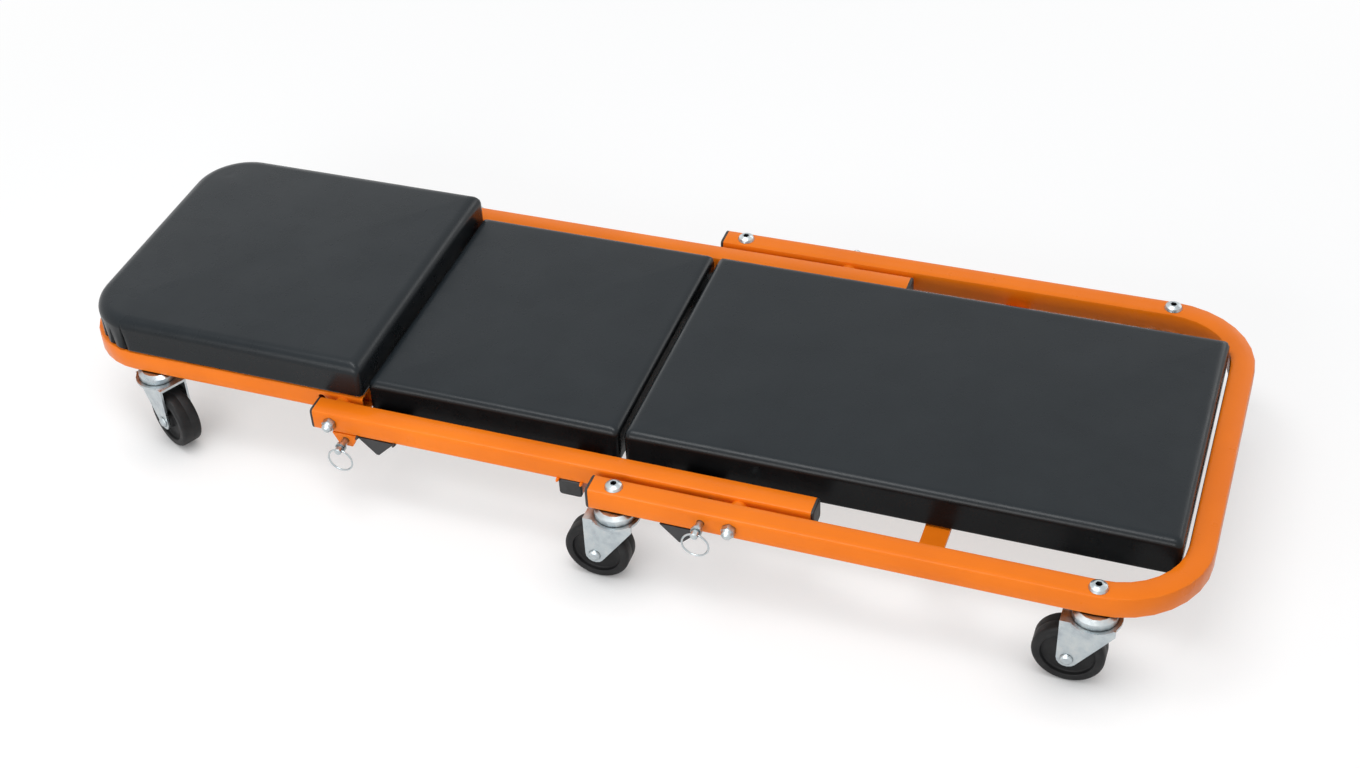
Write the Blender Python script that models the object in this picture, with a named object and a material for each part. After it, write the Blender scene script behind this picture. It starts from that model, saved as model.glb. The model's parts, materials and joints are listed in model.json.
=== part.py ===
"""Folding mechanic's creeper: three padded frames that fold from a flat bed into a Z-shaped seat."""
import math

import bmesh
import bpy
from mathutils import Matrix, Vector

MM = 0.001

# Square tube that every frame is bent from.
TUBE = 25.0 * MM
TUBE_WALL = 1.5 * MM
TUBE_CORNER = 3.0 * MM
CORNER_STEPS = 2
BEND_STEPS = 8

# Clearances.
FIT = 0.3 * MM
PAD_JOIN = 3.0 * MM

# Layout along the bed, the head end at -X, and across it.
FOOT_HALF = 220.5 * MM
SIDE_GAP = 7.5 * MM
FOOT_END_X = 613.5 * MM
FOOT_OPEN_X = 28.5 * MM
FOOT_BEND = 82.0 * MM
HEAD_END_X = -606.0 * MM
HEAD_BEND = 62.0 * MM
FOLD_X = 177.5 * MM
LINK_LENGTH = 456.5 * MM
MID_TAIL = 73.0 * MM
MID_NOSE = 20.5 * MM
HEAD_TAIL = 24.0 * MM
FOLD_ANGLE = math.radians(135.0)

# Stop bars: V-shaped troughs that carry the flat bed and stop the fold.
STOP_WIDTH = 42.4 * MM
STOP_WALL = 3.0 * MM
STOP_TIP = 3.0 * MM

# Crossbar of the middle frame and strap of the foot frame.
CROSSBAR_X = -5.0 * MM
CROSSBAR_WIDTH = 25.0 * MM
CROSSBAR_HEIGHT = 20.0 * MM
STRAP_X = 367.5 * MM
STRAP_WIDTH = 25.0 * MM
STRAP_THICK = 4.0 * MM
STRAP_INSET = 6.0 * MM

# End caps.
CAP_FLANGE = 3.0 * MM
CAP_BEVEL = 1.0 * MM
CAP_PLUG = 10.0 * MM

# Pads.
PAD_SIDE_GAP = 15.5 * MM
PAD_EDGE = 43.0 * MM
PAD_CROWN = 2.0 * MM
PAD_ROUND = 6.0 * MM
PAD_CORNER = 6.0 * MM
PAD_DRAW = 1.5 * MM
PAD_HEM = 3.0 * MM
PAD_FOOT_GAP = 5.0 * MM
MID_PAD_FOOT_X = 35.5 * MM
FOOT_PAD_END_GAP = 3.5 * MM
HEAD_PAD_CORNER = 64.0 * MM
HEAD_PAD_OVERHANG = 1.0 * MM
HEAD_PAD_REACH = 25.0 * MM
BOARD_THICK = 9.0 * MM
BOARD_INSET = 6.0 * MM
BOARD_CORNER = 9.0 * MM
PAD_SIDE_STEPS = 6
PAD_CORNER_STEPS = 4
CROWN_STEPS = 4
CROWN_BUNCHING = 1.5

# Pivot bolts with dome nuts.
BOLT_RADIUS = 4.0 * MM
BOLT_HEAD_RADIUS = 7.0 * MM
BOLT_HEAD = 3.0 * MM
BOLT_CAP_RADIUS = 5.5 * MM
BOLT_CAP = 6.0 * MM
BOLT_CAP_FLAT = 2.5 * MM
BOSS_RADIUS = 9.0 * MM
NUT_APOTHEM = 6.5 * MM
NUT_HEIGHT = 6.5 * MM
NUT_DOME = 6.0 * MM
NUT_TIP = 2.0 * MM
NUT_THREAD = 9.0 * MM
HEX_SIDES = 6
ROUND_STEPS = 24
SMALL_STEPS = 12
DOME_STEPS = 2

# Lock pins with pull rings.
PIN_RADIUS = 4.0 * MM
PIN_TRAVEL = 10.0 * MM
PIN_REST = 2.0 * MM
PIN_COLLAR = 3.0 * MM
PIN_COLLAR_RADIUS = 6.0 * MM
PIN_TAIL = 8.0 * MM
PIN_BEVEL = 1.0 * MM
RING_RADIUS = 14.0 * MM
RING_WIRE = 1.1 * MM
RING_HOLE = 1.8 * MM
FLAT_PIN_BACK = 30.0 * MM
SEAT_PIN_FORWARD = 15.5 * MM
SEAT_PIN_BELOW = 8.0 * MM
TAB_THICK = 6.0 * MM
TAB_EDGE = 7.5 * MM
TAB_FLARE = 7.5 * MM
RING_STEPS = 24
WIRE_STEPS = 6

# Casters.
WHEEL_RADIUS = 35.0 * MM
WHEEL_WIDTH = 25.0 * MM
WHEEL_SHOULDER = 4.0 * MM
WHEEL_RIM = 26.0 * MM
WHEEL_DISH = 5.0 * MM
HUB_RADIUS = 10.0 * MM
HUB_SIDE = 2.0 * MM
AXLE_RADIUS = 4.0 * MM
AXLE_HEAD_RADIUS = 6.5 * MM
AXLE_HEAD = 3.0 * MM
AXLE_HEAD_FLAT = 4.0 * MM
FORK_LEG = 2.5 * MM
FORK_CROWN = 3.0 * MM
FORK_CROWN_RADIUS = 26.0 * MM
FORK_FRONT = 22.0 * MM
FORK_FRONT_DEPTH = 8.0 * MM
FORK_EYE = 10.0 * MM
TRAIL = 20.0 * MM
RACE_RADIUS = 22.0 * MM
RACE_HEIGHT = 10.0 * MM
RACE_TOP_RADIUS = 17.5 * MM
RACE_SLOPE = 3.5 * MM
KEEPER_RADIUS = 9.0 * MM
KEEPER_TIP_RADIUS = 6.5 * MM
KEEPER = 3.0 * MM
WHEEL_HEADROOM = 8.0 * MM
STEM_RADIUS = 5.0 * MM
STEM_HEAD_RADIUS = 9.5 * MM
STEM_HEAD = 5.0 * MM
STEM_HEAD_FLAT = 5.0 * MM
SOCKET_RADIUS = 3.5 * MM
SOCKET_DEPTH = 6.0 * MM
CASTER_FROM_END = 24.0 * MM
HEAD_CASTER_FROM_BEND = 21.0 * MM
EYE_STEPS = 6
WHEEL_STEPS = 20
STEM_STEPS = 16

# Trailing direction of each caster, turned about the upright axis from +X.
SWIVEL = {
    "head_right": math.radians(-28.0),
    "head_left": math.radians(152.0),
    "middle_right": math.radians(180.0),
    "middle_left": math.radians(165.0),
    "foot_right": math.radians(180.0),
    "foot_left": math.radians(205.0),
}

# Heights and stations that follow from the sizes above.
CASTER_HEIGHT = (2.0 * WHEEL_RADIUS + WHEEL_HEADROOM + KEEPER + FORK_CROWN + RACE_HEIGHT
                 + 3.0 * FIT)
HALF = TUBE / 2.0
AXIS_Z = CASTER_HEIGHT + HALF
TUBE_TOP = CASTER_HEIGHT + TUBE
BAR_TOP = CASTER_HEIGHT - FIT
MID_HALF = FOOT_HALF - TUBE - SIDE_GAP
HEAD_HALF = MID_HALF - TUBE - SIDE_GAP
HEAD_X = FOLD_X - LINK_LENGTH
SEAT_PIN_DROP = HALF + SEAT_PIN_BELOW
STOP_SLOPE = math.pi - FOLD_ANGLE
STOP_REACH = (HALF + FIT) / math.tan(STOP_SLOPE / 2.0)
STOP_DEPTH = STOP_WIDTH / 2.0 * math.tan(STOP_SLOPE)
PAD_HALF = MID_HALF - HALF - PAD_SIDE_GAP
HEAD_PAD_HALF = HEAD_HALF + HALF + HEAD_PAD_OVERHANG
HEAD_PAD_FOOT_X = HEAD_X + HEAD_PAD_REACH
BORE = BOLT_RADIUS + FIT
PIN_BORE = PIN_RADIUS + FIT
FORK_INNER = WHEEL_WIDTH / 2.0 + HUB_SIDE
FORK_OUTER = FORK_INNER + FORK_LEG

X_AXIS = Vector((1.0, 0.0, 0.0))
Y_AXIS = Vector((0.0, 1.0, 0.0))
Z_AXIS = Vector((0.0, 0.0, 1.0))
SIDES = (("right", -1.0), ("left", 1.0))
WAYS = (-1.0, 1.0)

# Finishes: colour, roughness and metallic value.
FINISHES = {
    "orange_paint": ((0.9, 0.22, 0.02), 0.4, 0.0),
    "black_paint": ((0.03, 0.03, 0.03), 0.5, 0.0),
    "black_plastic": ((0.02, 0.02, 0.02), 0.55, 0.0),
    "zinc_plate": ((0.72, 0.74, 0.76), 0.32, 1.0),
    "charcoal_vinyl": ((0.045, 0.05, 0.055), 0.5, 0.0),
    "plywood": ((0.55, 0.4, 0.24), 0.7, 0.0),
    "black_tread": ((0.025, 0.025, 0.025), 0.6, 0.0),
}
SMOOTH_ANGLE = math.radians(35.0)


def clear_scene():
    for item in list(bpy.data.objects):
        bpy.data.objects.remove(item, do_unlink=True)


def make_material(name, colour, roughness, metallic):
    made = bpy.data.materials.new(name)
    made.use_nodes = True
    shader = made.node_tree.nodes["Principled BSDF"]
    shader.inputs["Base Color"].default_value = (*colour, 1.0)
    shader.inputs["Roughness"].default_value = roughness
    shader.inputs["Metallic"].default_value = metallic
    return made


def circle(centre, across, up, radius, count):
    ring = []
    for step in range(count):
        turn = 2.0 * math.pi * step / count
        ring.append(centre + across * (radius * math.cos(turn)) + up * (radius * math.sin(turn)))
    return ring


def rounded_ring(centre, across, up, half_across, half_up, radius):
    """One ring of a rounded rectangle, counted the same way round for every size."""
    ring = []
    for quarter, (sign_a, sign_u) in enumerate(((1, 1), (-1, 1), (-1, -1), (1, -1))):
        for step in range(CORNER_STEPS + 1):
            turn = math.pi / 2.0 * (quarter + step / CORNER_STEPS)
            offset_a = sign_a * (half_across - radius) + radius * math.cos(turn)
            offset_u = sign_u * (half_up - radius) + radius * math.sin(turn)
            ring.append(centre + across * offset_a + up * offset_u)
    return ring


def loft(rings, wrap=False):
    """Skin over rings of equal count; the ends are capped unless the skin wraps round on itself."""
    form = bmesh.new()
    rows = [[form.verts.new(point) for point in ring] for ring in rings]
    count = len(rows[0])
    pairs = list(zip(rows, rows[1:]))
    if wrap:
        pairs.append((rows[-1], rows[0]))
    for low, high in pairs:
        for step in range(count):
            after = (step + 1) % count
            form.faces.new((low[step], low[after], high[after], high[step]))
    if not wrap:
        form.faces.new(rows[0])
        form.faces.new(rows[-1])
    return form


def lathe(profile, centre, across, up, along, count, wrap=False):
    """Turned form: profile holds (radius, distance along the axis)."""
    rings = [circle(centre + along * place, across, up, radius, count) for radius, place in profile]
    return loft(rings, wrap)


def dome(radius, height, flat):
    """Profile of a domed head, from the edge of its flat top down to its rim at zero."""
    start = math.acos(flat / radius)
    full_height = height / math.sin(start)
    profile = []
    for step in range(DOME_STEPS + 1):
        turn = start * (1.0 - step / DOME_STEPS)
        profile.append((radius * math.cos(turn), full_height * math.sin(turn)))
    return profile


def prism(outline, start, end, along):
    """Straight extrusion of a closed outline of vectors."""
    return loft([[point + along * start for point in outline],
                 [point + along * end for point in outline]])


def add_part(name, form, origin, material, parent=None):
    bmesh.ops.recalc_face_normals(form, faces=form.faces)
    for vert in form.verts:
        vert.co -= origin
    mesh = bpy.data.meshes.new(name)
    form.to_mesh(mesh)
    form.free()
    part = bpy.data.objects.new(name, mesh)
    bpy.context.scene.collection.objects.link(part)
    mesh.materials.append(material)
    part.location = origin
    if parent is not None:
        part.parent = parent
        part.location = origin - world_place(parent)
    return part


def add_pivot(name, place, parent=None):
    pivot = bpy.data.objects.new(name, None)
    bpy.context.scene.collection.objects.link(pivot)
    pivot.location = place
    if parent is not None:
        pivot.parent = parent
        pivot.location = place - world_place(parent)
    return pivot


def world_place(item):
    place = item.location.copy()
    while item.parent is not None:
        item = item.parent
        place += item.location
    return place


def carve(part, form, operation="DIFFERENCE"):
    """Cut the form out of the part, or weld it on, and keep the finished mesh."""
    bmesh.ops.recalc_face_normals(form, faces=form.faces)
    mesh = bpy.data.meshes.new("tool")
    form.to_mesh(mesh)
    form.free()
    tool = bpy.data.objects.new("tool", mesh)
    bpy.context.scene.collection.objects.link(tool)
    change = part.modifiers.new("change", "BOOLEAN")
    change.operation = operation
    change.solver = "EXACT"
    change.object = tool
    bpy.context.view_layer.update()
    graph = bpy.context.evaluated_depsgraph_get()
    done = bpy.data.meshes.new_from_object(part.evaluated_get(graph))
    part.modifiers.remove(change)
    old = part.data
    part.data = done
    done.name = part.name
    bpy.data.meshes.remove(old)
    bpy.data.objects.remove(tool, do_unlink=True)
    bpy.data.meshes.remove(mesh)


def join_forms(forms):
    """One mesh from several separate closed forms."""
    whole = bmesh.new()
    for form in forms:
        mesh = bpy.data.meshes.new("piece")
        form.to_mesh(mesh)
        form.free()
        whole.from_mesh(mesh)
        bpy.data.meshes.remove(mesh)
    return whole


def cross_hole(x, y, z, radius, reach):
    """Cutter along Y, centred on y."""
    return lathe([(radius, -reach), (radius, reach)], Vector((x, y, z)), X_AXIS, Z_AXIS, Y_AXIS,
                 SMALL_STEPS)


def upright_hole(x, y, z, radius, reach):
    """Cutter along Z, centred on z."""
    return lathe([(radius, -reach), (radius, reach)], Vector((x, y, z)), X_AXIS, Y_AXIS, Z_AXIS,
                 SMALL_STEPS)


def tube_along(stations):
    """Hollow square tube, open at both ends, through stations of (centre, side vector)."""
    bore = HALF - TUBE_WALL
    bore_corner = TUBE_CORNER - TUBE_WALL
    outer = [rounded_ring(centre, side, Z_AXIS, HALF, HALF, TUBE_CORNER)
             for centre, side in stations]
    inner = [rounded_ring(centre, side, Z_AXIS, bore, bore, bore_corner)
             for centre, side in reversed(stations)]
    return loft(outer + inner, wrap=True)


def u_stations(open_x, end_x, half, bend):
    """Path of a U-bent tube from the right open end round to the left one."""
    way = 1.0 if end_x > open_x else -1.0
    stations = [(Vector((open_x, -half, AXIS_Z)), Y_AXIS)]
    for corner_side in (-1.0, 1.0):
        centre = Vector((end_x - way * bend, corner_side * (half - bend), AXIS_Z))
        for step in range(BEND_STEPS + 1):
            turn = math.pi / 2.0 * step / BEND_STEPS
            if corner_side < 0.0:
                out = Vector((way * math.sin(turn), -math.cos(turn), 0.0))
            else:
                out = Vector((way * math.cos(turn), math.sin(turn), 0.0))
            stations.append((centre + out * bend, -out))
    stations.append((Vector((open_x, half, AXIS_Z)), -Y_AXIS))
    return stations


def end_cap(name, x, y, z, way, along, half_across, half_up, material, parent=None):
    """Push-in plug: flange outside the tube end, plug inside it."""
    centre = Vector((x, y, z))
    across = Y_AXIS if along == X_AXIS else X_AXIS
    out = along * way
    plug_across = half_across - TUBE_WALL - FIT
    plug_up = half_up - TUBE_WALL - FIT
    plug_corner = TUBE_CORNER - TUBE_WALL
    rings = []
    for place, shrink in ((CAP_FLANGE + FIT, CAP_BEVEL), (CAP_FLANGE + FIT - CAP_BEVEL, 0.0),
                          (FIT, 0.0)):
        rings.append(rounded_ring(centre + out * place, across, Z_AXIS, half_across - shrink,
                                  half_up - shrink, TUBE_CORNER))
    for place in (FIT, FIT - CAP_PLUG):
        rings.append(rounded_ring(centre + out * place, across, Z_AXIS, plug_across, plug_up,
                                  plug_corner))
    return add_part(name, loft(rings), centre, material, parent)


def stop_bar(name, near_x, way, half_length, material, parent=None):
    """V-shaped trough, closed at its ends, whose face near the pivot stops the fold."""
    def outline(inset, lift):
        depth = STOP_DEPTH - STOP_TIP / 2.0 * math.tan(STOP_SLOPE)
        wide = STOP_WIDTH / 2.0 - inset / math.sin(STOP_SLOPE)
        tip = STOP_TIP / 2.0 - inset * math.tan(STOP_SLOPE / 2.0)
        low = BAR_TOP - depth + inset
        middle = near_x + way * STOP_WIDTH / 2.0
        grow = lift / math.tan(STOP_SLOPE)
        return [Vector((middle - wide - grow, 0.0, BAR_TOP + lift)),
                Vector((middle - tip, 0.0, low)),
                Vector((middle + tip, 0.0, low)),
                Vector((middle + wide + grow, 0.0, BAR_TOP + lift))]

    middle = Vector((near_x + way * STOP_WIDTH / 2.0, 0.0, BAR_TOP))
    bar = add_part(name, prism(outline(0.0, 0.0), -half_length, half_length, Y_AXIS), middle,
                   material, parent)
    hollow = half_length - STOP_WALL
    carve(bar, prism(outline(STOP_WALL, STOP_WALL), -hollow, hollow, Y_AXIS))
    return bar


def pad_ring(low_x, high_x, half, inset, z, low_corner, high_corner, draw):
    """Rounded outline of a pad, its sides drawn in between the corners."""
    spread = draw * (1.0 - min(1.0, inset / (half - PAD_ROUND)))
    left = low_x + inset
    right = high_x - inset
    wide = half - inset
    low_round = max(low_corner - inset, BOARD_INSET)
    high_round = max(high_corner - inset, BOARD_INSET)
    corners = ((right, wide, high_round, 0), (left, wide, low_round, 1),
               (left, -wide, low_round, 2), (right, -wide, high_round, 3))
    ring = []
    for index, (x, y, bend, quarter) in enumerate(corners):
        centre = Vector((x - math.copysign(bend, x - (left + right) / 2.0),
                         y - math.copysign(bend, y), z))
        for step in range(PAD_CORNER_STEPS + 1):
            turn = math.pi / 2.0 * (quarter + step / PAD_CORNER_STEPS)
            ring.append(centre + Vector((bend * math.cos(turn), bend * math.sin(turn), 0.0)))
        start = ring[-1].copy()
        next_x, next_y, next_bend, next_quarter = corners[(index + 1) % len(corners)]
        turn = math.pi / 2.0 * next_quarter
        end = Vector((next_x - math.copysign(next_bend, next_x - (left + right) / 2.0),
                      next_y - math.copysign(next_bend, next_y), z))
        end += Vector((next_bend * math.cos(turn), next_bend * math.sin(turn), 0.0))
        inward = Vector((-math.cos(turn), -math.sin(turn), 0.0))
        for step in range(1, PAD_SIDE_STEPS):
            share = step / PAD_SIDE_STEPS
            pull = spread * math.sin(math.pi * share)
            ring.append(start.lerp(end, share) + inward * pull)
    return ring


def cushion(name, low_x, high_x, half, floor_z, low_corner, high_corner, material, parent=None):
    """Crowned cushion whose cover wraps down round the edge of its board."""
    top_z = floor_z + PAD_EDGE
    reach = min(half, (high_x - low_x) / 2.0) - PAD_ROUND
    outline = [(BOARD_INSET, floor_z + BOARD_THICK + FIT, 0.0), (BOARD_INSET, floor_z, 0.0),
               (PAD_HEM, floor_z, PAD_DRAW), (0.0, floor_z + PAD_HEM, PAD_DRAW),
               (0.0, top_z - PAD_ROUND, PAD_DRAW)]
    for step in range(1, PAD_CORNER_STEPS + 1):
        turn = math.pi / 2.0 * step / PAD_CORNER_STEPS
        outline.append((PAD_ROUND * (1.0 - math.cos(turn)),
                        top_z - PAD_ROUND + PAD_ROUND * math.sin(turn), PAD_DRAW))
    for step in range(1, CROWN_STEPS + 1):
        share = (step / CROWN_STEPS) ** CROWN_BUNCHING
        inset = PAD_ROUND + share * (reach - PAD_ROUND)
        outline.append((inset, top_z + PAD_CROWN * (1.0 - (1.0 - share) ** 2), 0.0))
    rings = [pad_ring(low_x, high_x, half, inset, z, low_corner, high_corner, draw)
             for inset, z, draw in outline]
    middle = Vector(((low_x + high_x) / 2.0, 0.0, floor_z))
    return add_part(name, loft(rings), middle, material, parent)


def board(name, low_x, high_x, half, floor_z, low_corner, material, parent=None):
    """Plywood base that lies inside the turned-down cover."""
    gap = BOARD_INSET + FIT
    low_round = max(low_corner - gap, BOARD_CORNER)
    ring = pad_ring(low_x + gap, high_x - gap, half - gap, 0.0, floor_z, low_round, BOARD_CORNER,
                    0.0)
    middle = Vector(((low_x + high_x) / 2.0, 0.0, floor_z))
    return add_part(name, prism(ring, 0.0, BOARD_THICK, Z_AXIS), middle, material, parent)


def pad(label, low_x, high_x, half, floor_z, low_corner, cover, wood, parent=None):
    top = cushion(label + "_cushion", low_x, high_x, half, floor_z, low_corner, PAD_CORNER, cover,
                  parent)
    base = board(label + "_board", low_x, high_x, half, floor_z, low_corner, wood, parent)
    return top, base


def pivot_set(label, x, outer_half, inner_half, material, parent=None):
    """Bolt with a capped head and dome nut on each side, through the outer and the inner tube."""
    for side, way in SIDES:
        centre = Vector((x, 0.0, AXIS_Z))
        out = Y_AXIS * way
        head = inner_half - HALF - FIT
        face = outer_half + HALF + FIT
        tip = face + NUT_THREAD
        cap = head - BOLT_HEAD
        profile = [(radius, cap - height)
                   for radius, height in dome(BOLT_CAP_RADIUS, BOLT_CAP, BOLT_CAP_FLAT)]
        profile += [(BOLT_HEAD_RADIUS, cap), (BOLT_HEAD_RADIUS, head), (BOLT_RADIUS, head),
                    (BOLT_RADIUS, tip)]
        bolt = lathe(profile, centre, X_AXIS, Z_AXIS, out, SMALL_STEPS)
        add_part(label + "_bolt_" + side, bolt, centre + out * face, material, parent)
        rings = [circle(centre + out * (tip + FIT), X_AXIS, Z_AXIS, BORE, SMALL_STEPS),
                 circle(centre + out * face, X_AXIS, Z_AXIS, BORE, SMALL_STEPS)]
        for place in (face, face + NUT_HEIGHT):
            rings.append(hex_ring(centre + out * place, NUT_APOTHEM))
        for radius, height in reversed(dome(NUT_APOTHEM, NUT_DOME, NUT_TIP)):
            rings.append(circle(centre + out * (face + NUT_HEIGHT + height), X_AXIS, Z_AXIS, radius,
                                SMALL_STEPS))
        add_part(label + "_nut_" + side, loft(rings), centre + out * face, material, parent)


def hex_ring(centre, apothem):
    """Hexagon across its flats, with a point at each corner and in the middle of each flat."""
    ring = []
    facet = 2.0 * math.pi / HEX_SIDES
    for step in range(SMALL_STEPS):
        turn = 2.0 * math.pi * step / SMALL_STEPS
        local = (turn + facet / 2.0) % facet - facet / 2.0
        radius = apothem / math.cos(local)
        ring.append(centre + X_AXIS * (radius * math.cos(turn)) + Z_AXIS * (radius * math.sin(turn)))
    return ring


def lock_pin(label, x, z, guide_y, tip_y, material, parent=None):
    """Pull pin along Y on the right side, drawn back; it moves to +Y to lock."""
    collar_y = guide_y - FIT - PIN_TRAVEL - PIN_COLLAR
    hole_y = collar_y - PIN_TAIL / 2.0
    tail_y = collar_y - PIN_TAIL
    end_radius = PIN_RADIUS - PIN_BEVEL
    profile = [(end_radius, tail_y), (PIN_RADIUS, tail_y + PIN_BEVEL), (PIN_RADIUS, collar_y),
               (PIN_COLLAR_RADIUS, collar_y), (PIN_COLLAR_RADIUS, collar_y + PIN_COLLAR),
               (PIN_RADIUS, collar_y + PIN_COLLAR), (PIN_RADIUS, tip_y - PIN_BEVEL),
               (end_radius, tip_y)]
    origin = Vector((x, guide_y, z))
    pin = add_part(label + "_pin", lathe(profile, Vector((x, 0.0, z)), X_AXIS, Z_AXIS, Y_AXIS,
                                         STEM_STEPS), origin, material, parent)
    reach = PIN_COLLAR_RADIUS
    carve(pin, lathe([(RING_HOLE, -reach), (RING_HOLE, reach)], Vector((x, hole_y, z)), Y_AXIS,
                     Z_AXIS, X_AXIS, SMALL_STEPS))
    sag = RING_RADIUS - math.sqrt(RING_RADIUS ** 2 - PIN_RADIUS ** 2)
    eye = Vector((x, hole_y, z + sag / 2.0))
    middle = eye - Z_AXIS * RING_RADIUS
    rings = []
    for step in range(RING_STEPS):
        turn = 2.0 * math.pi * step / RING_STEPS
        out = X_AXIS * math.cos(turn) + Z_AXIS * math.sin(turn)
        rings.append(circle(middle + out * RING_RADIUS, out, Y_AXIS, RING_WIRE, WIRE_STEPS))
    add_part(label + "_ring", loft(rings, wrap=True), eye, material, pin)


def fork_mesh(material):
    """Pressed swivel fork about its own swivel axis, trailing to +X, top of the crown at zero."""
    axle_z = WHEEL_RADIUS - (CASTER_HEIGHT - RACE_HEIGHT - 2.0 * FIT)
    outline = [Vector((-FORK_FRONT, 0.0, 0.0)), Vector((-FORK_FRONT, 0.0, -FORK_FRONT_DEPTH))]
    run = TRAIL + FORK_FRONT
    rise = -FORK_FRONT_DEPTH - axle_z
    tangent = math.atan2(rise, -run) + math.acos(FORK_EYE / math.hypot(run, rise))
    for step in range(EYE_STEPS + 1):
        turn = tangent + (2.0 * math.pi - tangent) * step / EYE_STEPS
        outline.append(Vector((TRAIL + FORK_EYE * math.cos(turn), 0.0,
                               axle_z + FORK_EYE * math.sin(turn))))
    outline.append(Vector((TRAIL + FORK_EYE, 0.0, 0.0)))
    origin = Vector((0.0, 0.0, 0.0))
    fork = add_part("fork", prism(outline, -FORK_OUTER, FORK_OUTER, Y_AXIS), origin, material)
    carve(fork, lathe([(FORK_CROWN_RADIUS, -FORK_CROWN), (FORK_CROWN_RADIUS, 0.0)], origin, X_AXIS,
                      Y_AXIS, Z_AXIS, ROUND_STEPS), "UNION")
    deep = axle_z - 2.0 * FORK_EYE
    wide = FORK_CROWN_RADIUS + TRAIL + FORK_EYE
    channel = [Vector((-wide, -FORK_INNER, 0.0)), Vector((wide, -FORK_INNER, 0.0)),
               Vector((wide, FORK_INNER, 0.0)), Vector((-wide, FORK_INNER, 0.0))]
    carve(fork, prism(channel, deep, -FORK_CROWN, Z_AXIS))
    carve(fork, upright_hole(0.0, 0.0, 0.0, STEM_RADIUS + FIT, 2.0 * FORK_CROWN))
    carve(fork, cross_hole(TRAIL, 0.0, axle_z, AXLE_RADIUS + FIT, 2.0 * FORK_OUTER))
    return fork, axle_z


def stem_form(place):
    """Bolt with socket head, bearing race under the tube and the keeper below the fork crown."""
    head_z = TUBE_TOP + FIT
    race_low = BAR_TOP - RACE_HEIGHT
    keeper_top = race_low - FORK_CROWN - 2.0 * FIT
    profile = [(radius, head_z + height)
               for radius, height in dome(STEM_HEAD_RADIUS, STEM_HEAD, STEM_HEAD_FLAT)]
    profile += [(STEM_RADIUS, head_z), (STEM_RADIUS, BAR_TOP), (RACE_TOP_RADIUS, BAR_TOP),
                (RACE_RADIUS, BAR_TOP - RACE_SLOPE), (RACE_RADIUS, race_low),
                (STEM_RADIUS, race_low), (STEM_RADIUS, keeper_top), (KEEPER_RADIUS, keeper_top),
                (KEEPER_TIP_RADIUS, keeper_top - KEEPER)]
    return lathe(profile, Vector((place.x, place.y, 0.0)), X_AXIS, Y_AXIS, Z_AXIS, STEM_STEPS)


def caster(label, x, y, fork, axle_z, zinc, tread, parent=None):
    place = Vector((x, y, CASTER_HEIGHT))
    stem = add_part(label + "_caster_stem", stem_form(place), place, zinc, parent)
    socket = lathe([(SOCKET_RADIUS, TUBE_TOP + FIT + STEM_HEAD - SOCKET_DEPTH),
                    (SOCKET_RADIUS, TUBE_TOP + 2.0 * STEM_HEAD)], Vector((x, y, 0.0)), X_AXIS,
                   Y_AXIS, Z_AXIS, HEX_SIDES)
    carve(stem, socket)
    crown = Vector((x, y, CASTER_HEIGHT - RACE_HEIGHT - 2.0 * FIT))
    swivel = bpy.data.objects.new(label + "_caster_fork", fork.data.copy())
    bpy.context.scene.collection.objects.link(swivel)
    swivel.location = crown
    if parent is not None:
        swivel.parent = parent
        swivel.location = crown - world_place(parent)
    swivel.rotation_euler = (0.0, 0.0, SWIVEL[label])
    centre = Vector((TRAIL, 0.0, axle_z))
    side = FORK_OUTER + FIT
    head = dome(AXLE_HEAD_RADIUS, AXLE_HEAD, AXLE_HEAD_FLAT)
    rivet = [(radius, -side - height) for radius, height in head]
    rivet += [(AXLE_RADIUS, -side), (AXLE_RADIUS, side)]
    rivet += [(radius, side + height) for radius, height in reversed(head)]
    origin = Vector((0.0, 0.0, 0.0))
    axle = add_part(label + "_caster_axle", lathe(rivet, origin, X_AXIS, Z_AXIS, Y_AXIS, SMALL_STEPS),
                    origin, zinc)
    axle.parent = swivel
    axle.location = centre
    half = WHEEL_WIDTH / 2.0
    hub = FORK_INNER - FIT
    web = half - WHEEL_DISH
    flank = [(AXLE_RADIUS + FIT, hub), (HUB_RADIUS, hub), (HUB_RADIUS, web), (WHEEL_RIM, web),
             (WHEEL_RIM, half), (WHEEL_RADIUS - WHEEL_SHOULDER, half),
             (WHEEL_RADIUS, half - WHEEL_SHOULDER)]
    ring = flank + [(radius, -place_y) for radius, place_y in reversed(flank)]
    wheel = add_part(label + "_caster_wheel", lathe(ring, origin, X_AXIS, Z_AXIS, Y_AXIS,
                                                    WHEEL_STEPS, wrap=True), origin, tread)
    wheel.parent = swivel
    wheel.location = centre


def bored_tube(name, stations, origin, welds, holes, material, parent=None):
    tube = add_part(name, tube_along(stations), origin, material, parent)
    for weld in welds:
        carve(tube, weld, "UNION")
    carve(tube, join_forms(holes))
    return tube


def pivot_boss(x, tube_half, way):
    """Spacer ring welded to the outer face of a tube, filling the gap to the next tube."""
    face = tube_half + HALF
    return lathe([(BOSS_RADIUS, face - TUBE_WALL / 2.0), (BOSS_RADIUS, face + SIDE_GAP - FIT)],
                 Vector((x, 0.0, AXIS_Z)), X_AXIS, Z_AXIS, Y_AXIS * way, ROUND_STEPS)


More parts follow.
